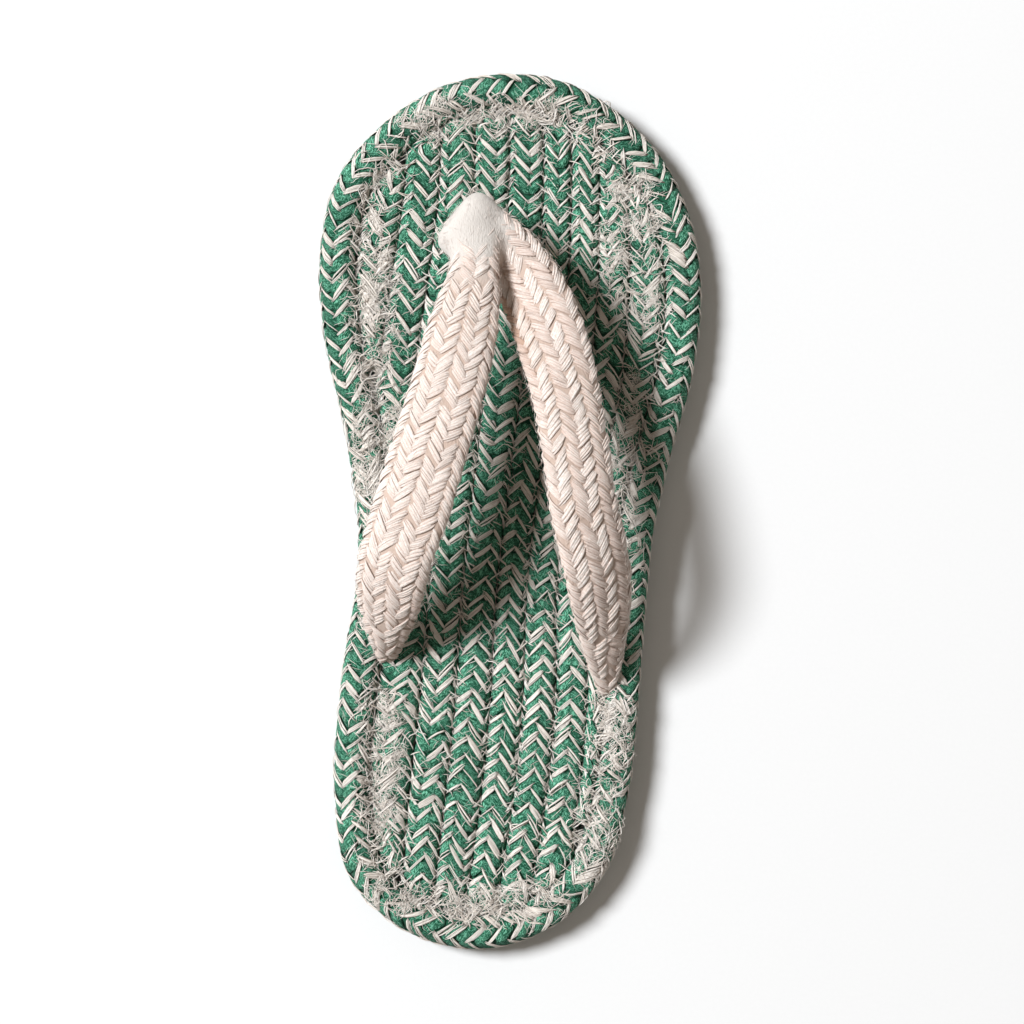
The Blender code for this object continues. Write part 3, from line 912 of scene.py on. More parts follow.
def sweep(centres, ups, half_widths, rises, section, tone, hollow, material, edge=0.0):
    """Closed strands along rows of centres, with one section for all of them."""
    count, steps, _ = centres.shape
    corners = np.array(section)
    sides = len(corners)
    forward = unit(np.gradient(centres, axis=1))
    across = unit(np.cross(forward, ups))
    ups = np.cross(across, forward)
    points = (
        centres[:, :, None]
        + across[:, :, None] * (half_widths[:, :, None] * corners[:, 0])[..., None]
        + ups[:, :, None] * (rises[:, :, None] * corners[:, 1])[..., None]
    )
    base = np.arange(count * steps * sides).reshape(count, steps, sides)
    ahead = np.roll(base, -1, axis=2)
    quads = [base[:, :-1], ahead[:, :-1], ahead[:, 1:], base[:, 1:]]
    faces = np.stack(quads, -1).reshape(-1, 4).tolist()
    faces += base[:, 0, ::-1].tolist() + base[:, -1].tolist()
    travel = np.linalg.norm(np.diff(centres, axis=1), axis=-1)
    travel = np.concatenate([np.zeros((count, 1)), np.cumsum(travel, axis=1)], axis=1)
    travel = travel + tone[:, None] * PATTERN_SHIFT
    shape = (count, steps, sides)
    places = (travel[:, :, None], corners[:, 0] * np.max(half_widths))
    yarn = np.stack([np.broadcast_to(place, shape) for place in places], -1)
    # Painted shade along each strand's sides, where it meets its neighbours
    past_light = (np.abs(corners[:, 0]) - LIGHT_SHARE) / (1 - LIGHT_SHARE)
    painted_side_shade = edge * np.clip(past_light, 0.0, 1.0) ** 1.5
    depth = np.maximum(np.broadcast_to(hollow[:, :, None], shape), painted_side_shade)
    tones = np.broadcast_to(tone[:, None, None], shape)
    skin = points.reshape(-1, 3)
    return Part(skin, faces, yarn.reshape(-1, 2), tones.ravel(), depth.ravel(), material)


def sweep_lay(centres, ups, half_widths, rises, lay, tone, hollow):
    """Closed strands with the section, sides and material of their lay."""
    return sweep(
        centres, ups, half_widths, rises, lay.section, tone, hollow, lay.material, lay.edge
    )


def core_part(cord, around, along_count, around_count, height, material):
    """The smooth body of a cord: a grid rolled into a tube, with its seam closed."""
    form = bmesh.new()
    bmesh.ops.create_grid(form, x_segments=along_count, y_segments=around_count, size=0.5)
    grid = np.array([vert.co[:2] for vert in form.verts]) + 0.5
    along = cord.start + grid[:, 0] * (cord.end - cord.start)
    depth = height(along) if callable(height) else height + along * 0
    points = cord.place(along, around * grid[:, 1], depth)
    for vert, point in zip(form.verts, points):
        vert.co = point
    bmesh.ops.remove_doubles(form, verts=form.verts, dist=0.002)
    bmesh.ops.recalc_face_normals(form, faces=form.faces)
    form.verts.index_update()
    points = np.array([vert.co for vert in form.verts])
    faces = [[vert.index for vert in face.verts] for face in form.faces]
    form.free()
    tone, hollow = (np.full(len(points), value) for value in (CORE_TONE, CORE_HOLLOW))
    return Part(points, faces, points[:, :2], tone, hollow, material)


def joined_object(name, parts, materials):
    """One object of many parts, with its materials."""
    faces, slots = [], []
    offset = 0
    for part in parts:
        faces += [[corner + offset for corner in face] for face in part.faces]
        slots += [part.material] * len(part.faces)
        offset += len(part.points)
    mesh = bpy.data.meshes.new(name)
    points = np.concatenate([part.points for part in parts]) * MM
    mesh.from_pydata(points.tolist(), [], faces)
    corners = np.zeros(len(mesh.loops), dtype=np.int32)
    mesh.loops.foreach_get("vertex_index", corners)
    yarn = np.concatenate([part.yarn for part in parts]).astype(np.float32)
    mesh.uv_layers.new(name="yarn").uv.foreach_set("vector", yarn[corners].ravel())
    for label in ("tone", "hollow"):
        values = np.concatenate([getattr(part, label) for part in parts]).astype(np.float32)
        mesh.attributes.new(label, "FLOAT", "POINT").data.foreach_set("value", values)
    for material in materials:
        mesh.materials.append(material)
    mesh.polygons.foreach_set("material_index", np.array(slots, dtype=np.int32))
    mesh.shade_smooth()
    mesh.update()
    return place_object(name, mesh)


def place_object(name, mesh):
    """An object for a mesh, riding on the slipper."""
    piece = bpy.data.objects.new(name, mesh)
    bpy.context.scene.collection.objects.link(piece)
    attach(piece, "root")
    return piece


def dice(cloth, number):
    """Random numbers for one piece, the same on each run."""
    return np.random.default_rng(cloth.seed * 100 + number)


def wear_at(x, y):
    """How frayed the sole is at a place, from 0 to 1."""
    wear = np.zeros_like(x)
    for patch in FRAYS:
        reach = ((x - patch.x) / patch.half_x) ** 2 + ((y - patch.y) / patch.half_y) ** 2
        wear = np.maximum(wear, patch.wear * np.exp(-0.7 * reach**2))
    return wear


def with_habit(cells, random):
    """Cells with each strand's own habit: how it slips along, slants and bows."""
    cells = np.array(cells)
    return np.hstack([cells, random.normal(0, 1, (len(cells), 3))])


def braid_cells(cord, pitch, spines, random):
    """A round braid's strands as they show: where each starts along the cord, and the
    angles at its back end and its front end."""
    step = 2 * math.pi / COLUMNS
    places = [spine.along for spine in spines]
    angles = [spine.angle for spine in spines]
    length = cord.end - cord.start - 2 * END_ROOM
    count = int(length / pitch)
    pitch = length / count
    cells = []
    for start in cord.start + END_ROOM + pitch * np.arange(count):
        back = math.radians(float(np.interp(start, places, angles)))
        for k in range(COLUMNS // 2):
            for sign in (-1, 1):
                root = back + 2 * k * step
                middle = root + sign * step / 2
                root -= 2 * math.pi * round(middle / (2 * math.pi))
                cells.append((start, root, root + sign * step))
    return with_habit(cells, random)


def either_way(value, count, random):
    """A value for each of so many strands, half of them with its sign turned."""
    return np.where(random.random(count) < 0.5, value, -value)


def side_by_side(plies, spacing):
    """For strands of several plies: each ply's strand, and its place along the cord."""
    rows = np.repeat(np.arange(len(plies)), plies)
    first = np.cumsum(plies) - plies
    place = np.arange(len(rows)) - first[rows]
    return rows, (place - (plies[rows] - 1) / 2) * spacing


def lay_strands(
    cord, cells, lead, lay, random, wear=0.0, offset=0.0, scale=1.0, lift=0.0, skew=0.0, painted_shade=0.0
):
    """Strands that run from the back end to the front end of their cells. The offset
    moves a ply to its place in its strand, and the plies close up at the ends. The skew
    is how far a braid's chevrons run on along the cord in one turn round it, and the last
    argument is painted shade added to each strand, such as the shadow beside a fold."""
    count = len(cells)
    wear, offset, scale, lift, painted_shade = (
        np.broadcast_to(value, (count,))[:, None] for value in (wear, offset, scale, lift, painted_shade)
    )
    t = np.linspace(0.0, 1.0, lay.steps)
    t = 0.45 * t + 0.55 * (0.5 - 0.5 * np.cos(math.pi * t))
    out = np.abs(2 * t - 1)
    stray = lay.stray * (1 + 1.5 * wear)
    slip, slant, bow = cells[:, 3, None], cells[:, 4, None], cells[:, 5, None]
    first = -lay.reach + random.normal(0, END_STRAY, (count, 1)) * stray
    last = 1 + lay.reach * (1 + lay.dive) + random.normal(0, END_STRAY, (count, 1)) * stray
    share = first + (last - first) * t
    along = cells[:, 0, None] + lay.shift + SLIP * slip * stray
    along = along + lead * (1 + SLANT * slant * stray) * share
    along = along + BOW * bow * stray * np.sin(math.pi * t)
    along = along + offset * (1 - lay.gather * out**3)
    around = cells[:, 1, None] + (cells[:, 2] - cells[:, 1])[:, None] * share
    along = along + skew * around / (2 * math.pi)
    arch = 1 - out ** max(2.8, 0.6 * lay.blunt)
    end = np.clip(1 - out**lay.blunt, 0.03, 1.0) ** 0.5
    swell = np.exp(random.normal(0, WIDTH_STRAY, (count, 1)) * stray)
    half_widths = lay.half_width * scale * swell * end
    rises = lay.rise * (0.4 + 0.6 * arch) * np.maximum(end, 0.25) * np.sqrt(scale)
    low = lay.sink * (1 - lay.dive * t)
    top = low + (lay.crown - low) * arch + lift
    top = top + random.normal(0, HEIGHT_STRAY, (count, 1)) * stray
    centres = cord.place(along, around, top - rises)
    ups = surface_normals(cord, along, around)
    # Painted shade at a strand's ends, where it dives under its neighbours, together with any
    # painted shade that is given
    painted_end_shade = lay.shade * out ** max(4.0, lay.blunt) * (1 - 0.6 * lay.dive * t)
    hollow = np.clip(painted_end_shade + painted_shade, 0.0, 1.0) + np.zeros(half_widths.shape)
    # Painted sheen: strands that run across the light from the left get a lighter tone
    run = centres[:, -1] - centres[:, 0]
    across_light = np.cos(2 * (np.arctan2(run[:, 1], run[:, 0]) - LIT_HEADING))
    tone = LEAST_TONE + LIT_TONE * across_light + CHANCE_TONE * random.random(count)
    return sweep_lay(centres, ups, half_widths, rises, lay, np.clip(tone, 0.0, 1.0), hollow)


def braided_parts(cord, cells, pitch, lead, skew, shown, random):
    """The green strands of a cord, and the cream strands between them."""
    middle = (cells[:, 1] + cells[:, 2]) / 2
    seen = (middle > shown[0]) & (middle < shown[1])
    x, y, _ = np.moveaxis(cord.place(cells[:, 0] + lead / 2, middle, middle * 0), -1, 0)
    wear = np.where(seen, wear_at(x, y), 0.0)
    pale = seen & (random.random(len(cells)) < FADED_CHANCE * wear)
    green, below, half = seen & ~pale, ~seen, pitch / 2
    parts = [
        lay_strands(cord, cells[green], lead, GREEN, random, wear[green], skew=skew),
        lay_strands(cord, cells[below], lead, GREEN_BELOW, random, skew=skew),
        lay_strands(cord, cells[below], lead, CREAM_BELOW._replace(shift=half), random, skew=skew),
    ]
    front, worn = cells[seen], wear[seen]
    plies = random.choice(CREAM_PLIES[0], len(front), p=CREAM_PLIES[1])
    added = np.rint(2 * worn * random.random(len(front))).astype(int)
    rows, offset = side_by_side(plies + added, PLY_SPACING)
    apart = random.random(len(rows)) < LOOSE_PLIES
    offset = offset + apart * either_way(-LOOSE_PLY_OFFSET, len(rows), random)
    lift = random.normal(0, 0.06, len(rows))
    size = random.uniform(0.7, 1.15, len(rows))
    lay = CREAM._replace(shift=half)
    parts.append(
        lay_strands(cord, front[rows], lead, lay, random, worn[rows], offset, size, lift, skew)
    )
    if pale.any():
        rows, offset = side_by_side(np.full(pale.sum(), FADED_PLIES), FADED_SPACING)
        faded, lift = cells[pale][rows], random.normal(-0.1, 0.08, len(rows))
        worn = wear[pale][rows]
        parts.append(lay_strands(cord, faded, lead, CREAM, random, worn, offset, 1.1, lift, skew))
    return parts


def top_height(half_height, across, power):
    """Height of a cord's top, at a share of its half width from its middle."""
    return half_height + half_height * (1 - across ** (2 / power)) ** (power / 2)


class SoleTop:
    """Reads the height of the sole's upper side at any place."""

    def __init__(self, sole):
        self.sole = sole
        self.rows = [mat_limits(sole, index) for index, _ in MAT_CORDS.values()]
        self.rim, _ = rim_line(mm(sole.rim_width) / 2)
        outline, _ = rim_line(-THREAD_OVERHANG)
        outline = np.roll(outline, -outline[:, 1].argmin(), axis=0)
        tip = outline[:, 1].argmax()
        self.edges = outline[: tip + 1], outline[tip:][::-1]

    def inside(self, x, y):
        """Whether places lie within the sole's outline."""
        one, two = (np.interp(y, edge[:, 1], edge[:, 0]) for edge in self.edges)
        return (x > np.minimum(one, two)) & (x < np.maximum(one, two))

    def height(self, x, y):
        """Height over the floor, in millimetres."""
        half = mm(self.sole.mat_height) / 2
        best = np.full(x.shape, GROUND_HEIGHT)
        for row in self.rows:
            centre = np.interp(y, row[:, 0], row[:, 1])
            half_width = np.interp(y, row[:, 0], row[:, 2])
            inside = (y > row[0, 0]) & (y < row[-1, 0])
            across = np.clip(np.abs(x - centre) / half_width, 0.0, 1.0)
            z = top_height(half, across, MAT_POWER)
            best = np.where(inside & (across < 1), np.maximum(best, z), best)
        flat = np.stack([x.ravel(), y.ravel()], -1)
        away = np.empty(len(flat))
        for i in range(0, len(flat), CHUNK):
            gaps = flat[i : i + CHUNK, None] - self.rim[None]
            away[i : i + CHUNK] = np.sqrt((gaps**2).sum(-1).min(1))
        across = np.clip(away.reshape(x.shape) / (mm(self.sole.rim_width) / 2), 0.0, 1.0)
        rim_half = mm(self.sole.rim_height) / 2
        z = top_height(rim_half, across, RIM_POWER)
        best = np.where(across < 1, np.maximum(best, z), best)
        return best + floor_lift(self.sole, y)


def pull_taut(heights, rounds=12):
    """Heights of threads that bridge the hollows they cross."""
    for _ in range(rounds):
        middle = (heights[:, :-2] + heights[:, 2:]) / 2
        heights[:, 1:-1] = np.maximum(heights[:, 1:-1], middle)
    return heights


def loose_part(top, x, y, heading, length, half_width, lift, bow, lay, random, offset=0.0):
    """Threads that lie over the sole. The heading is from +X, anticlockwise. The lower a
    thread lies, the more painted shade it gets, and some are tan at random."""
    count = len(x)
    t = np.linspace(-0.5, 0.5, lay.steps)
    offset = np.broadcast_to(offset, (count,))[:, None] * (1 - 0.6 * np.abs(2 * t) ** 3)
    kink, wave = random.normal(0, 0.3, (2, count, 1)) * np.abs(bow[:, None])
    bent = bow[:, None] * (1 - 4 * t**2) + kink * np.sin(2 * math.pi * t)
    bent = bent + wave * np.cos(4 * math.pi * t)
    side = bent * length[:, None] + offset
    run = length[:, None] * t
    px = x[:, None] + run * np.cos(heading)[:, None] - side * np.sin(heading)[:, None]
    py = y[:, None] + run * np.sin(heading)[:, None] + side * np.cos(heading)[:, None]
    z = pull_taut(top.height(px, py))
    kept = (z.min(axis=1) > LOWEST_THREAD) & top.inside(px, py).all(axis=1)
    px, py, z = px[kept], py[kept], z[kept]
    count = len(px)
    curl = random.normal(0, 0.2, (count, 1))
    z = z + lift[kept, None] + 0.5 * np.abs(curl) * (2 * t) ** 2 + curl * 0.3 * t
    centres = np.stack([px, py, z], -1)
    lean = random.normal(0, 0.2, (count, 1, 2)) + np.zeros((1, lay.steps, 1))
    ups = unit(np.concatenate([lean, np.ones((count, lay.steps, 1))], -1))
    end = np.clip(1 - np.abs(2 * t) ** lay.blunt, 0.05, 1.0) ** 0.6
    half_widths = half_width[kept, None] * end
    rises = np.minimum(0.55 * half_widths, lay.rise)
    tone = random.random(count)
    # Painted shade: the lower a thread lies, the darker it is; some threads are also tan at random
    shade_and_tan = LOW_THREAD_SHADE * np.clip(1.2 - 2.6 * lift[kept, None], 0, 1)
    shade_and_tan = shade_and_tan + 0.35 * random.random((count, 1)) ** 2
    shade_and_tan = np.clip(shade_and_tan, 0, 1) + np.zeros(half_widths.shape)
    return sweep_lay(centres, ups, half_widths, rises, lay, tone, shade_and_tan)


def scatter(count, random):
    """Places on the sole, picked by how frayed it is."""
    kept = []
    while sum(len(k) for k in kept) < count:
        x = random.uniform(-REACH_X, REACH_X, TRIES)
        y = random.uniform(-REACH_Y, REACH_Y, TRIES)
        pick = random.random(TRIES) < wear_at(x, y)
        kept.append(np.stack([x[pick], y[pick]], -1))
    places = np.concatenate(kept)[:count]
    return places[:, 0], places[:, 1]


def socket(group, label, kind, direction, default=None):
    """A named socket of a node group."""
    item = group.interface.new_socket(name=label, in_out=direction, socket_type=kind)
    if default is not None:
        item.default_value = default
    return item


def add_node(tree, kind, label, x, y, **settings):
    """A node with a label, a place and its settings."""
    node = tree.nodes.new(kind)
    node.name = node.label = label
    node.location = (x, y)
    for key, value in settings.items():
        setattr(node, key, value)
    return node


def maths(tree, operation, first, second, x, y, label):
    """A Math node on two values, each a socket or a number."""
    node = add_node(tree, "ShaderNodeMath", label, x, y, operation=operation)
    for i, value in enumerate((first, second)):
        if isinstance(value, (int, float)):
            node.inputs[i].default_value = value
        elif value is not None:
            tree.links.new(value, node.inputs[i])
    return node.outputs[0]


def noise_node(tree, place, detail, roughness, x, y, label):
    """Noise at a place whose coordinates are scaled already."""
    noise = add_node(tree, "ShaderNodeTexNoise", label, x, y)
    for key, value in (("Scale", 1.0), ("Detail", detail), ("Roughness", roughness)):
        noise.inputs[key].default_value = value
    tree.links.new(place, noise.inputs["Vector"])
    return noise.outputs["Fac"]


def stretched_noise(tree, along, across, third, scales, detail, x, y, label):
    """Noise whose grains lie along a yarn."""
    spot = add_node(tree, "ShaderNodeCombineXYZ", label + " place", x, y)
    for i, (value, way) in enumerate(((along, " along"), (across, " across"))):
        scaled = maths(tree, "MULTIPLY", value, scales[i], x - 160, y - 60 * i, label + way)
        tree.links.new(scaled, spot.inputs[i])
    tree.links.new(third, spot.inputs[2])
    return noise_node(tree, spot.outputs[0], detail, 0.65, x + 160, y, label)


def spread_node(tree, value, low, high, x, y, label):
    """A value spread from its range over 0 to 1."""
    node = add_node(tree, "ShaderNodeMapRange", label, x, y)
    node.inputs["From Min"].default_value = low
    node.inputs["From Max"].default_value = high
    tree.links.new(value, node.inputs["Value"])
    return node.outputs[0]


def ply_group():
    """The fibres and plies of a strand, painted highlights on the plies' ridges, and short
    flecks of painted glint along their twist.
    """
    group = bpy.data.node_groups.new("yarn_plies", "ShaderNodeTree")
    socket(group, "Yarn", "NodeSocketVector", "INPUT")
    socket(group, "Tone", "NodeSocketFloat", "INPUT", 0.5)
    socket(group, "Ply Width", "NodeSocketFloat", "INPUT", 0.55)
    socket(group, "Twist", "NodeSocketFloat", "INPUT", 1.0)
    socket(group, "Ridges", "NodeSocketFloat", "INPUT", 0.25)
    for label in ("Relief", "Streak", "Fleck"):
        socket(group, label, "NodeSocketFloat", "OUTPUT")
    entry = add_node(group, "NodeGroupInput", "Inputs", -1100, 0)
    leave = add_node(group, "NodeGroupOutput", "Outputs", 900, 0)
    split = add_node(group, "ShaderNodeSeparateXYZ", "Along and across", -900, 0)
    group.links.new(entry.outputs["Yarn"], split.inputs[0])
    along, across = split.outputs[0], split.outputs[1]
    own = maths(group, "MULTIPLY", entry.outputs["Tone"], 19.0, -700, -200, "Own place")
    lay = maths(group, "MULTIPLY", along, entry.outputs["Twist"], -700, -60, "Lay of the twist")
    turned = maths(group, "ADD", across, lay, -520, -60, "Across the twist")
    fibres = stretched_noise(group, along, turned, own, (0.95, 4.6), 3.0, -160, 0, "Fibres")
    grains = stretched_noise(group, along, turned, own, (1.5, 4.0), 1.0, -160, 260, "Flecks")
    wander = stretched_noise(group, along, across, own, (0.5, 0.5), 1.0, -160, -320, "Wander")
    sway = maths(group, "MULTIPLY", wander, 0.5, 140, -320, "Sway")
    place = maths(group, "ADD", across, sway, 260, -320, "Across with sway")
    share = maths(group, "DIVIDE", place, entry.outputs["Ply Width"], 380, -320, "Ply")
    phase = maths(group, "MULTIPLY", share, math.pi, 480, -320, "Ply phase")
    wave = maths(group, "SINE", phase, None, 580, -320, "Wave")
    ridge = maths(group, "ABSOLUTE", wave, None, 680, -320, "Ply ridge")
    # Flecks of painted glint along the twist
    fleck = spread_node(group, grains, 0.49, 0.6, 200, 260, "Fleck range")
    group.links.new(fleck, leave.inputs["Fleck"])
    low = maths(group, "MULTIPLY", ridge, 0.5, 600, -160, "Ridge share")
    relief = maths(group, "ADD", low, fibres, 760, -120, "Relief")
    group.links.new(relief, leave.inputs["Relief"])
    # Painted highlight: the plies' ridges are made lighter than the fibres between them
    streak = spread_node(group, fibres, 0.38, 0.62, 200, 80, "Streak range")
    lighter = maths(group, "SUBTRACT", ridge, streak, 420, 80, "Ridge over fibres")
    bright = maths(group, "MULTIPLY", lighter, entry.outputs["Ridges"], 600, 20, "Ridge light")
    group.links.new(maths(group, "ADD", streak, bright, 760, 80, "Streak"), leave.inputs["Streak"])
    return group


def blend_node(tree, label, x, y, fac, first, second):
    """A colour mix of two sockets by a third."""
    node = add_node(tree, "ShaderNodeMix", label, x, y, data_type="RGBA")
    for place, value in ((0, fac), (6, first), (7, second)):
        tree.links.new(value, node.inputs[place])
    return node.outputs[2]


def tint_group():
    """A yarn's colour: darker fibres, flecks of painted glint by each strand's tone, and
    painted shade in the hollows.
    """
    group = bpy.data.node_groups.new("yarn_tint", "ShaderNodeTree")
    for label in ("Light", "Middle", "Shade", "Deep"):
        socket(group, label, "NodeSocketColor", "INPUT", (0.5, 0.5, 0.5, 1.0))
    for label in ("Streak", "Fleck", "Tone", "Hollow"):
        socket(group, label, "NodeSocketFloat", "INPUT", 0.5)
    socket(group, "Colour", "NodeSocketColor", "OUTPUT")
    entry = add_node(group, "NodeGroupInput", "Inputs", -800, 0)
    leave = add_node(group, "NodeGroupOutput", "Outputs", 700, 0)
    # A strand's tone, partly random and partly painted sheen, lightens its fibres and gives it more
    # flecks of painted glint
    lit = maths(group, "MULTIPLY_ADD", entry.outputs["Tone"], 0.7, -720, 200, "Fibres by tone")
    lit.node.inputs[2].default_value = -0.35
    fibres = maths(group, "ADD", entry.outputs["Streak"], lit, -640, 260, "Lit fibres")
    low = spread_node(group, fibres, 0.16, 0.78, -560, 200, "Dark fibres")
    shade, middle = entry.outputs["Shade"], entry.outputs["Middle"]
    dark = blend_node(group, "With dark fibres", -200, 120, low, shade, middle)
    own = maths(group, "MULTIPLY_ADD", entry.outputs["Tone"], 0.75, -560, -60, "Own light")
    own.node.inputs[2].default_value = 0.2
    tone = maths(group, "MULTIPLY", own, entry.outputs["Fleck"], -380, -60, "Light share")
    light = blend_node(group, "With light flecks", 0, 60, tone, dark, entry.outputs["Light"])
    # Painted shade: the more hollow a place, the more of the deep colour
    deep = maths(group, "POWER", entry.outputs["Hollow"], 1.5, -200, -240, "Depth")
    depth = maths(group, "MULTIPLY", deep, 0.8, 0, -240, "Depth share")
    final = blend_node(group, "With hollows", 200, 0, depth, light, entry.outputs["Deep"])
    group.links.new(final, leave.inputs["Colour"])
    return group


def group_node(tree, label, x, y, make, name):
    """A node that holds a group, which is built once and then used again."""
    inner = bpy.data.node_groups.get(name) or make()
    return add_node(tree, "ShaderNodeGroup", label, x, y, node_tree=inner)


def plain_material(name, roughness, specular, sheen):
    """A material of cloth or paper, without its colour."""
    material = bpy.data.materials.new(name)
    material.use_nodes = True
    tree = material.node_tree
    tree.nodes["Material Output"].location = (900, 0)
    shader = tree.nodes["Principled BSDF"]
    shader.location = (600, 0)
    shader.inputs["Roughness"].default_value = roughness
    shader.inputs["Specular IOR Level"].default_value = specular
    shader.inputs["Sheen Weight"].default_value = sheen
    shader.inputs["Sheen Roughness"].default_value = 0.5
    return material


def finish_yarn(tree, colours, masks, height, bump, distance):
    """The tint and the relief of a yarn, from masks and a height over its surface."""
    shader = tree.nodes["Principled BSDF"]
    tint = group_node(tree, "Tint", -100, 160, tint_group, "yarn_tint")
    for label, colour in zip(("Light", "Middle", "Shade", "Deep"), colours):
        tint.inputs[label].default_value = (*colour, 1.0)
    for label, mask in masks.items():
        tree.links.new(mask, tint.inputs[label])
    tree.links.new(tint.outputs["Colour"], shader.inputs["Base Color"])
    relief = add_node(tree, "ShaderNodeBump", "Relief", 200, -260)
    relief.inputs["Strength"].default_value = bump
    relief.inputs["Distance"].default_value = distance
    tree.links.new(height, relief.inputs["Height"])
    tree.links.new(relief.outputs[0], shader.inputs["Normal"])


def yarn_material(name, colours, ply, twist, ridges, bump, specular, sheen):
    """A yarn whose pattern follows its strands."""
    material = plain_material(name, 0.85, specular, sheen)
    tree = material.node_tree
    yarn = add_node(tree, "ShaderNodeUVMap", "Yarn", -700, 0, uv_map="yarn")
    tone, hollow = (
        add_node(tree, "ShaderNodeAttribute", label, -700, y, attribute_name=label.lower())
        for label, y in (("Tone", -160), ("Hollow", -340))
    )
    plies = group_node(tree, "Plies", -440, 0, ply_group, "yarn_plies")
    tree.links.new(yarn.outputs[0], plies.inputs["Yarn"])
    tree.links.new(tone.outputs["Fac"], plies.inputs["Tone"])
    # The ridges' share is how much painted highlight the plies' tops get
    for label, value in (("Ply Width", ply), ("Twist", twist), ("Ridges", ridges)):
        plies.inputs[label].default_value = value
    masks = {label: plies.outputs[label] for label in ("Streak", "Fleck")}
    masks.update(Tone=tone.outputs["Fac"], Hollow=hollow.outputs["Fac"])
    finish_yarn(tree, colours, masks, plies.outputs["Relief"], bump, 0.00025)
    return material


def felt_material(name, colours, stretch, bump):
    """Brushed cotton or a cord's core, whose fibres follow the piece's own axes."""
    material = plain_material(name, 0.9, 0.2, 0.25)
    tree = material.node_tree
    place = add_node(tree, "ShaderNodeTexCoord", "Place", -900, 0)
    fit = add_node(tree, "ShaderNodeMapping", "Fibre run", -700, 0)
    fit.inputs["Scale"].default_value = stretch
    tree.links.new(place.outputs["Object"], fit.inputs["Vector"])
    fibres = noise_node(tree, fit.outputs[0], 4.0, 0.6, -500, 0, "Fibres")
    spread = spread_node(tree, fibres, 0.1, 0.55, -320, 0, "Fibre range")
    # The hollow attribute paints shade where the padding or a core shows between strands
    hollow = add_node(tree, "ShaderNodeAttribute", "Hollow", -500, -260, attribute_name="hollow")
    masks = {"Streak": spread, "Fleck": fibres, "Hollow": hollow.outputs["Fac"]}
    finish_yarn(tree, colours, masks, fibres, bump, 0.0003)
    return material


def sole_materials(cloth):
    """The materials of the braided cords: core, green yarn and cream yarn."""
    made = [bpy.data.materials.get(name) for name in ("cord_core", "green_yarn", "cream_yarn")]
    if all(made):
        return made
    light, green, deep = tuple(cloth.light_green), tuple(cloth.green), tuple(cloth.deep_green)
    cream, tan = tuple(cloth.cream), tuple(cloth.tan)
    return [
        felt_material(
            "cord_core", (green, green, deep, deep), stretch=(1500.0, 1500.0, 1500.0), bump=0.4
        ),
        yarn_material(
            "green_yarn", (light, green, deep, deep),
            ply=0.6, twist=0.35, ridges=0.6, bump=1.0, specular=0.14, sheen=0.03,
        ),
        yarn_material(
            "cream_yarn", (CREAM_LIGHT, cream, CREAM_SHADE, tan),
            ply=0.24, twist=0.1, ridges=0.35, bump=0.7, specular=0.2, sheen=0.1,
        ),
    ]


def strap_materials(cloth):
    """The materials of the straps: brushed cotton, and the yarn of the braid."""
    made = [bpy.data.materials.get(name) for name in ("brushed_cotton", "strap_yarn")]
    if all(made):
        return made
    strap, blush = tuple(cloth.strap), tuple(cloth.blush)
    return [
        felt_material(
            "brushed_cotton", (*COTTON, blush), stretch=(2600.0, 900.0, 1800.0), bump=1.0
        ),
        yarn_material(
            "strap_yarn", (STRAP_LIGHT, strap, STRAP_SHADE, blush),
            ply=0.26, twist=0.2, ridges=0.45, bump=0.6, specular=0.15, sheen=0.15,
        ),
    ]


class SLIPPER_OT_mat_cords(bpy.types.Operator):
    """Braid the cords that lie side by side along the foot"""

    bl_idname = "slipper.mat_cords"
    bl_label = "Mat cords"

    def execute(self, context):
        sole, cloth = context.scene.slipper_sole, context.scene.slipper_cloth
        for number, (name, (index, spines)) in enumerate(MAT_CORDS.items()):
            random = dice(cloth, number)
            cord = mat_cord(sole, index)
            pitch, lead = mm(sole.strand_pitch), mm(sole.strand_lead)
            cells = braid_cells(cord, pitch, spines, random)
            rings = int((cord.end - cord.start) / CORE_STEP)
            parts = [core_part(cord, 2 * math.pi, rings, MAT_SIDES, -mm(sole.core_depth), 0)]
            parts += braided_parts(cord, cells, pitch, lead, -pitch, MAT_SHOWN, random)
            piece = joined_object(name + "_braid", parts, sole_materials(cloth))
            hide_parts(name)
        return {"FINISHED"}


class SLIPPER_OT_rim_cord(bpy.types.Operator):
    """Braid the thicker cord round the sole"""

    bl_idname = "slipper.rim_cord"
    bl_label = "Rim cord"

    def execute(self, context):
        sole, cloth = context.scene.slipper_sole, context.scene.slipper_cloth
        random = dice(cloth, 20)
        cord = rim_cord(sole)
        spines = [Spine(s.along * cord.end, s.angle) for s in RIM_SPINES]
        pitch, lead = mm(sole.rim_pitch), mm(sole.rim_lead)
        cells = braid_cells(cord, pitch, spines, random)
        parts = [core_part(cord, 2 * math.pi, RIM_RINGS, RIM_SIDES, -mm(sole.core_depth), 0)]
        parts += braided_parts(cord, cells, pitch, lead, 0.0, RIM_SHOWN, random)
        piece = joined_object("rim_braid", parts, sole_materials(cloth))
        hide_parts("rim_cord")
        return {"FINISHED"}


def smooth(form, verts):
    """One round of smoothing of some of a form's points."""
    axes = {"use_axis_x": True, "use_axis_y": True, "use_axis_z": True}
    bmesh.ops.smooth_vert(form, verts=verts, factor=0.5, **axes)


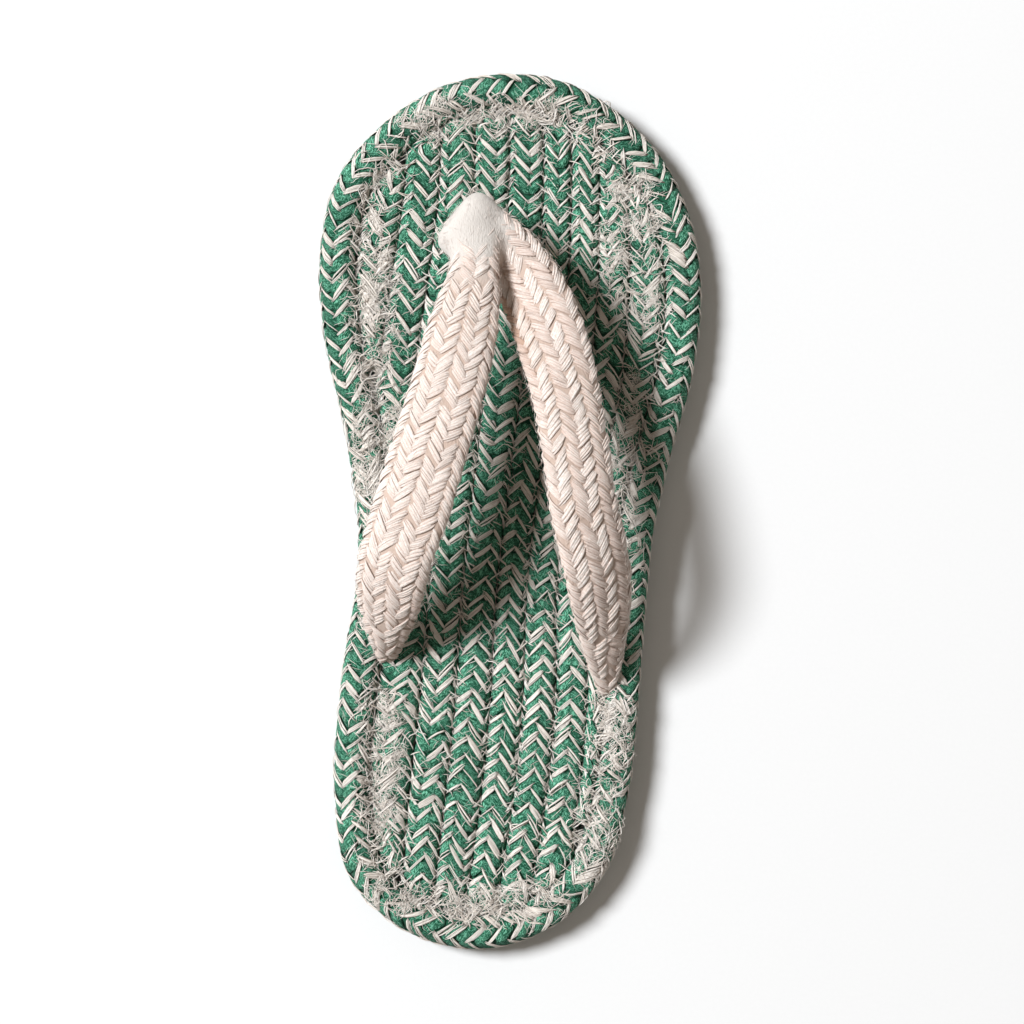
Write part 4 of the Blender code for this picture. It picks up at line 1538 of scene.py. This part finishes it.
class SLIPPER_OT_upper(bpy.types.Operator):
    """Join the padding of both straps with the toe post and its knob"""

    bl_idname = "slipper.upper"
    bl_label = "Padded straps and knob"

    def execute(self, context):
        straps, cloth = context.scene.slipper_straps, context.scene.slipper_cloth
        depth = mm(straps.core_depth)
        parts = [
            core_part(
                strap_cord(strap.table), 2.0, strap.rings, STRAP_SIDES,
                lambda along: -depth * ease(along, *strap.sunk), 0,
            )
            for strap in STRAPS
        ]
        parts.append(core_part(post_cord(), 2 * math.pi, POST_RINGS, POST_SIDES, 0.0, 0))
        rough = joined_object("upper_rough", parts, [])
        remesh = rough.modifiers.new("Join", "REMESH")
        remesh.mode = "VOXEL"
        remesh.voxel_size = straps.voxel
        joined = rough.evaluated_get(context.evaluated_depsgraph_get())
        shape = bpy.data.meshes.new_from_object(joined)
        bpy.data.objects.remove(rough)
        form = bmesh.new()
        form.from_mesh(shape)
        bpy.data.meshes.remove(shape)
        smooth(form, form.verts)
        forward, low = KNOB_FROM
        knob = [vert for vert in form.verts if vert.co.y > forward and vert.co.z > low]
        for _ in range(KNOB_ROUNDS):
            smooth(form, knob)
        bmesh.ops.recalc_face_normals(form, faces=form.faces)
        mesh = bpy.data.meshes.new("upper_padding")
        form.to_mesh(mesh)
        form.free()
        if not mesh.vertices:
            raise RuntimeError("the straps and the knob did not join")
        places = np.zeros(len(mesh.vertices) * 3)
        mesh.vertices.foreach_get("co", places)
        x, y, _ = places.reshape(-1, 3).T / MM
        # Painted shade on the padding that the braid covers, where it shows between the strands
        covered = 1 - ease(y + np.where(x > OUTER_SIDE, -OUTER_FORWARD, 0.0), *COVERED)
        hollow = mesh.attributes.new("hollow", "FLOAT", "POINT")
        hollow.data.foreach_set("value", (covered * COVERED_HOLLOW).astype(np.float32))
        mesh.materials.append(strap_materials(cloth)[0])
        mesh.shade_smooth()
        piece = place_object("upper_padding", mesh)
        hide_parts("upper")
        return {"FINISHED"}


def strap_columns(width, most):
    """How many columns of strands a strap has at its widths: fewer towards its end."""
    return np.where(width > ALL_COLUMNS_FROM, most, np.where(width > FOUR_COLUMNS_FROM, 4, 2))


def strap_parts(strap, straps, random):
    """The strands of a strap's braid, on its face and its back. Every second column lies
    half a pitch on, so the strands' front ends lie over each other by turns."""
    cord = strap_cord(strap.table)
    pitch, lead = mm(straps.strand_pitch), mm(straps.strand_lead)
    starts = np.arange(strap.fade[0], cord.end - 4.0, pitch)
    zero = starts * 0
    sides = [cord.place(starts + lead / 2, zero + side, zero) for side in (0.0, 1.0)]
    widths = np.linalg.norm(sides[1] - sides[0], axis=1)
    cells, squeeze = [], []
    for start, width, columns in zip(starts, widths, strap_columns(widths, straps.columns)):
        for k in range(2 * columns):
            root, tip = (k, k + 1) if (k + strap.first) % 2 == 0 else (k + 1, k)
            cells.append((start + pitch / 2 * (k % 2), root / columns, tip / columns))
            squeeze.append(np.clip(width / (COLUMN_WIDTH * columns), 0.5, 1.15))
    cells, squeeze = with_habit(cells, random), np.array(squeeze)
    start = cells[:, 0]
    face = (cells[:, 1] + cells[:, 2]) / 2 < 1
    level = ease(start, strap.fade[0] - 1.0, strap.fade[1])
    plies = random.choice(STRAP_PLIES[0], face.sum(), p=STRAP_PLIES[1])
    rows, offset = side_by_side(plies, 0.9 * pitch)
    narrow, shown = squeeze[face][rows], level[face][rows]
    offset = offset / plies[rows]
    scale = 4 / plies[rows] * narrow
    place = 2 * offset / pitch
    lift = -PLY_DROP * place**2 + PLY_LEAN * place - FADE_SINK * (1 - shown)
    lift += random.normal(0, 0.08, len(plies))[rows] + random.normal(0, 0.03, len(rows))
    front = cells[face][rows]
    # Painted shade: the outer strap's left edge beside the fold, where the inner strap's shadow
    # falls, and the outer plies of each bundle, as shade between the bundles
    edge = 2 - np.abs(cells[:, 1] + cells[:, 2] - 2)
    painted_fold_shade = ease(start, strap.painted_fold_shade, strap.painted_fold_shade * 0.4)
    near = 1.6 * np.exp(-((edge / 0.5) ** 2)) * painted_fold_shade
    near = near * random.uniform(0.7, 1.0, len(start))
    painted_shade = near[face][rows] + 0.3 * np.abs(place) ** 3 * shown
    return [
        lay_strands(cord, front, lead, STRAP_FACE, random, 0.0, offset, scale, lift, 0.0, painted_shade),
        lay_strands(
            cord, cells[~face], lead, STRAP_BACK, random, 0.0, 0.0, squeeze[~face], painted_shade=near[~face]
        ),
    ]


def fibre_part(cord, along, around, height, random):
    """Short fibres along rows of places on a cord, each with its height over the cord."""
    centres = cord.place(along, around, height)
    ups = surface_normals(cord, along, around)
    count = len(centres)
    half = random.uniform(*FUZZ_HALF_WIDTH, count)[:, None] * FUZZ_TAPER
    hollow = np.zeros(half.shape)
    return sweep(centres, ups, half, half, THREAD, random.random(count), hollow, 0)


def fuzz_part(table, count, random):
    """Short fibres that stand off a strap, mostly along its edges."""
    cord = strap_cord(table)
    edge = random.random(count) < FUZZ_AT_EDGE
    near = np.where(random.random(count) < 0.5, 0.0, 1.0) + random.normal(0, 0.09, count)
    around = np.where(edge, near, random.uniform(0.0, 1.0, count))
    along = random.uniform(0.5, cord.end - 3.0, count)
    length = random.uniform(0.8, 2.6, count)
    heading = random.normal(0, 0.6, count) + math.pi * (random.random(count) < 0.5)
    t = np.linspace(0.0, 1.0, len(FUZZ_TAPER))
    reach = random.gamma(2.0, 0.13, count)
    run = (length * np.cos(heading))[:, None] * t
    sway = (length * np.sin(heading) / FACE_WIDTH)[:, None] * t
    height = 0.05 + reach[:, None] * np.sin(t * random.uniform(1.2, 3.0, count)[:, None])
    return fibre_part(cord, along[:, None] + run, around[:, None] + sway, height, random)


def knob_fuzz_part(count, random):
    """Short fibres that stand off the knob."""
    cord = post_cord()
    z = random.uniform(20.0, cord.end - 0.8, count)
    angle = random.uniform(0.0, 2 * math.pi, count)
    t = np.linspace(0.0, 1.0, len(FUZZ_TAPER))
    rise = z[:, None] + random.normal(0, 0.7, count)[:, None] * t
    sway = angle[:, None] + random.normal(0, 0.16, count)[:, None] * t
    height = 0.05 + random.gamma(2.0, 0.16, count)[:, None] * np.sin(2.4 * t)
    return fibre_part(cord, np.clip(rise, 19.0, cord.end - 0.4), sway, height, random)


class SLIPPER_OT_strap_strands(bpy.types.Operator):
    """Braid the straps, and let a few fibres stand off them"""

    bl_idname = "slipper.strap_strands"
    bl_label = "Strap strands"

    def execute(self, context):
        straps, cloth = context.scene.slipper_straps, context.scene.slipper_cloth
        yarn = strap_materials(cloth)[1]
        for number, strap in enumerate(STRAPS):
            random = dice(cloth, 30 + number)
            parts = strap_parts(strap, straps, random)
            braid = joined_object(strap.name + "_braid", parts, [yarn])
            fibres = fuzz_part(strap.table, cloth.fuzz // 2, random)
            fuzz = joined_object(strap.name + "_fuzz", [fibres], [yarn])
            for piece in (braid, fuzz):
                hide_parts("upper")
        random = dice(cloth, 40)
        piece = joined_object("knob_fuzz", [knob_fuzz_part(cloth.fuzz // 4, random)], [yarn])
        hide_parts("upper")
        return {"FINISHED"}


def frayed_part(top, count, lay, random):
    """Loose strands of a few plies, where the sole is frayed."""
    x, y = scatter(count, random)
    heading = either_way(LOOSE_SLANT, count, random) + random.normal(0, 0.3, count)
    length, bow = random.uniform(2.5, 7.0, count), random.normal(0, 0.18, count)
    lift = random.uniform(0.12, 0.45, count)
    plies = random.choice(FRAYED_PLIES[0], count, p=FRAYED_PLIES[1])
    rows, offset = side_by_side(plies, FRAYED_SPACING)
    count = len(rows)
    return loose_part(
        top, x[rows], y[rows], heading[rows],
        length[rows] * random.uniform(0.85, 1.1, count),
        random.uniform(0.1, 0.17, count),
        lift[rows] + random.normal(0, 0.04, count),
        bow[rows], lay, random, offset,
    )


def fluff_part(top, count, lay, random):
    """Loose fibres where the sole is frayed, most of them matted in tufts."""
    x, y = scatter(count, random)
    tuft = random.integers(0, count, count)
    matted = random.random(count) < MATTED
    tuft = np.where(matted, tuft // TUFT * TUFT, np.arange(count))
    x = x[tuft] + np.where(matted, random.normal(0, 1.1, count), 0.0)
    y = y[tuft] + np.where(matted, random.normal(0, 1.8, count), 0.0)
    return loose_part(
        top, x, y,
        random.uniform(0, 2 * math.pi, count),
        random.uniform(2.0, 7.0, count) * np.where(matted, 0.6, 1.0),
        random.uniform(0.045, 0.11, count),
        random.uniform(0.1, 0.55, count),
        random.normal(0, 0.3, count),
        lay, random,
    )


def threads_near(x, y, spread, slant, count, random):
    """Threads round a place, slanted either way: their middles and headings."""
    return [
        (
            x + random.normal(0, spread[0]),
            y + random.normal(0, spread[1]),
            random.choice([-slant, slant]),
        )
        for _ in range(count)
    ]


def crossing_part(top, sole, lay, random):
    """Threads across the joints of the cords, their ends, the hollows and the rim's joint."""
    places = []
    for row in top.rows:
        for y in np.arange(row[0, 0] + 3, row[-1, 0] - 3, mm(sole.strand_pitch)):
            x = np.interp(y, row[:, 0], row[:, 1] + row[:, 2])
            places.append((x + random.normal(0.8, 0.5), y + random.normal(0, 0.5), -0.58))
            for chance, side, spot in ((0.75, -THREAD_SLANT, -0.2), (0.5, THREAD_SLANT, -0.6)):
                if random.random() < chance:
                    places.append((x + random.normal(spot, 0.8), y + random.uniform(-2, 2), side))
        for end in (row[0], row[-1]):
            spread = (1.8, 1.5)
            places += threads_near(
                end[1], end[0], spread, THREAD_SLANT, THREADS_AT_END, random
            )
    for x, y in HOLLOWS:
        places += threads_near(x, y, (1.4, 1.4), THREAD_SLANT, THREADS_AT_HOLLOW, random)
    joint, _ = rim_line(mm(sole.rim_width))
    for x, y in joint[::2]:
        places += threads_near(x, y, (0.9, 0.9), RIM_THREAD_SLANT, 1, random)
    places = np.array(places)
    count = len(places)
    return loose_part(
        top, places[:, 0], places[:, 1],
        places[:, 2] + random.normal(0, 0.18, count),
        random.uniform(2.6, 5.6, count),
        random.uniform(0.07, 0.19, count),
        random.uniform(0.03, 0.2, count),
        random.normal(0, 0.07, count),
        lay, random,
    )


def hairs_part(top, count, lay, random):
    """Thin fibres all over the sole."""
    x = random.uniform(-REACH_X, REACH_X, count)
    y = random.uniform(-HAIR_REACH_Y, HAIR_REACH_Y, count)
    return loose_part(
        top, x, y,
        either_way(LOOSE_SLANT, count, random) + random.normal(0, 0.25, count),
        random.uniform(1.6, 5.0, count),
        random.uniform(0.035, 0.075, count),
        random.uniform(0.15, 0.5, count),
        random.normal(0, 0.1, count),
        lay, random,
    )


class SLIPPER_OT_loose_threads(bpy.types.Operator):
    """Lay the frayed strands, fluff, cross threads and stray hairs on the sole"""

    bl_idname = "slipper.loose_threads"
    bl_label = "Loose threads"

    def execute(self, context):
        sole, cloth = context.scene.slipper_sole, context.scene.slipper_cloth
        random = dice(cloth, 50)
        top = SoleTop(sole)
        ribbon = CREAM._replace(material=0, blunt=6.0, rise=0.12, edge=0.3, steps=6)
        thread = CREAM._replace(material=0, rise=0.08, edge=0.0, steps=4)
        parts = {
            "frayed_strands": frayed_part(top, cloth.ribbons, ribbon, random),
            "fluff": fluff_part(top, cloth.fluff, thread._replace(steps=6), random),
            "cross_threads": crossing_part(top, sole, ribbon, random),
            "stray_hairs": hairs_part(top, cloth.hairs, thread, random),
        }
        cream = sole_materials(cloth)[2]
        for name, part in parts.items():
            piece = joined_object(name, [part], [cream])
        return {"FINISHED"}


class SLIPPER_OT_stage(bpy.types.Operator):
    """Set up the camera, the soft light and the pale floor"""

    bl_idname = "slipper.stage"
    bl_label = "Stage"

    def execute(self, context):
        settings = context.scene.slipper_stage
        place = Vector((settings.camera_side, CAMERA_ALONG, settings.camera_height))
        forward = (Vector(CAMERA_AIM) - place).normalized()
        right = forward.cross(Vector((0.0, 1.0, 0.0))).normalized()
        up = right.cross(forward)
        turn = Matrix((right, up, -forward)).transposed().to_4x4()
        lens = bpy.data.cameras.new("camera")
        lens.sensor_width = 36.0
        lens.lens = settings.lens
        lens.clip_start = 0.01
        camera = bpy.data.objects.new("camera", lens)
        camera.matrix_world = Matrix.Translation(place) @ turn
        context.scene.collection.objects.link(camera)
        context.scene.camera = camera

        lamp = bpy.data.lights.new("key_light", "AREA")
        lamp.shape = "DISK"
        lamp.size = KEY_SIZE
        lamp.energy = settings.key_power
        lamp.color = KEY_COLOUR
        key = bpy.data.objects.new("key_light", lamp)
        away = KEY_DISTANCE * Vector(KEY_DIRECTION)
        aim = (-away).to_track_quat("-Z", "Y").to_matrix().to_4x4()
        key.matrix_world = Matrix.Translation(away) @ aim
        context.scene.collection.objects.link(key)

        world = bpy.data.worlds.new("soft_room")
        world.use_nodes = True
        context.scene.world = world
        tree = world.node_tree
        tree.nodes.clear()
        leave = add_node(tree, "ShaderNodeOutputWorld", "World", 400, 0)
        seen = add_node(tree, "ShaderNodeLightPath", "Light path", -200, 300)
        room = add_node(tree, "ShaderNodeBackground", "Room light", -100, 0)
        room.inputs["Color"].default_value = ROOM_COLOUR
        room.inputs["Strength"].default_value = settings.fill
        wall = add_node(tree, "ShaderNodeBackground", "Pale wall", -100, -160)
        wall.inputs["Color"].default_value = WALL_COLOUR
        mix = add_node(tree, "ShaderNodeMixShader", "Wall for the camera", 160, 0)
        tree.links.new(seen.outputs["Is Camera Ray"], mix.inputs[0])
        tree.links.new(room.outputs[0], mix.inputs[1])
        tree.links.new(wall.outputs[0], mix.inputs[2])
        tree.links.new(mix.outputs[0], leave.inputs["Surface"])

        form = bmesh.new()
        bmesh.ops.create_grid(form, x_segments=2, y_segments=2, size=3.0)
        mesh = bpy.data.meshes.new("floor")
        form.to_mesh(mesh)
        form.free()
        floor = bpy.data.objects.new("floor", mesh)
        context.scene.collection.objects.link(floor)
        paper = plain_material("pale_floor", 0.9, 0.1, 0.0)
        tree = paper.node_tree
        spot = add_node(tree, "ShaderNodeTexCoord", "Place", -800, 0)
        grain = add_node(tree, "ShaderNodeTexNoise", "Grain", -600, 0)
        grain.inputs["Scale"].default_value = FLOOR_GRAIN
        shade = add_node(tree, "ShaderNodeMapRange", "Grain share", -400, 0)
        shade.inputs["To Min"].default_value, shade.inputs["To Max"].default_value = FLOOR_SHADES
        tree.links.new(spot.outputs["Object"], grain.inputs["Vector"])
        tree.links.new(grain.outputs["Fac"], shade.inputs["Value"])
        tree.links.new(shade.outputs[0], tree.nodes["Principled BSDF"].inputs["Base Color"])
        mesh.materials.append(paper)
        context.scene.view_settings.view_transform = "Standard"
        return {"FINISHED"}


class SLIPPER_PT_panel(bpy.types.Panel):
    """Sizes, colours and steps of the slipper"""

    bl_label = "Braided Thong Slipper"
    bl_idname = "SLIPPER_PT_panel"
    bl_space_type = "VIEW_3D"
    bl_region_type = "UI"
    bl_category = "Slipper"

    def draw(self, context):
        column = self.layout.column()
        for holder in (
            context.scene.slipper_stage,
            context.scene.slipper_sole,
            context.scene.slipper_straps,
            context.scene.slipper_cloth,
        ):
            for label in holder.__annotations__:
                column.prop(holder, label)
        for step in STEPS:
            column.operator(step.bl_idname)


STEPS = (
    SLIPPER_OT_stage,
    SLIPPER_OT_mat_cords,
    SLIPPER_OT_rim_cord,
    SLIPPER_OT_upper,
    SLIPPER_OT_strap_strands,
    SLIPPER_OT_loose_threads,
)
SETTINGS = {
    "slipper_sole": SlipperSole,
    "slipper_straps": SlipperStraps,
    "slipper_cloth": SlipperCloth,
    "slipper_stage": SlipperStage,
}


def register():
    """Register the settings, the steps and the panel."""
    for label, group in SETTINGS.items():
        bpy.utils.register_class(group)
        setattr(bpy.types.Scene, label, PointerProperty(type=group))
    for step in STEPS:
        bpy.utils.register_class(step)
    bpy.utils.register_class(SLIPPER_PT_panel)


def unregister():
    """Take them away again."""
    bpy.utils.unregister_class(SLIPPER_PT_panel)
    for step in reversed(STEPS):
        bpy.utils.unregister_class(step)
    for label, group in SETTINGS.items():
        delattr(bpy.types.Scene, label)
        bpy.utils.unregister_class(group)


def main():
    """Make the stage and every piece."""
    register()
    for step in STEPS:
        family, name = step.bl_idname.split(".")
        getattr(getattr(bpy.ops, family), name)()


if __name__ == "__main__":
    main()
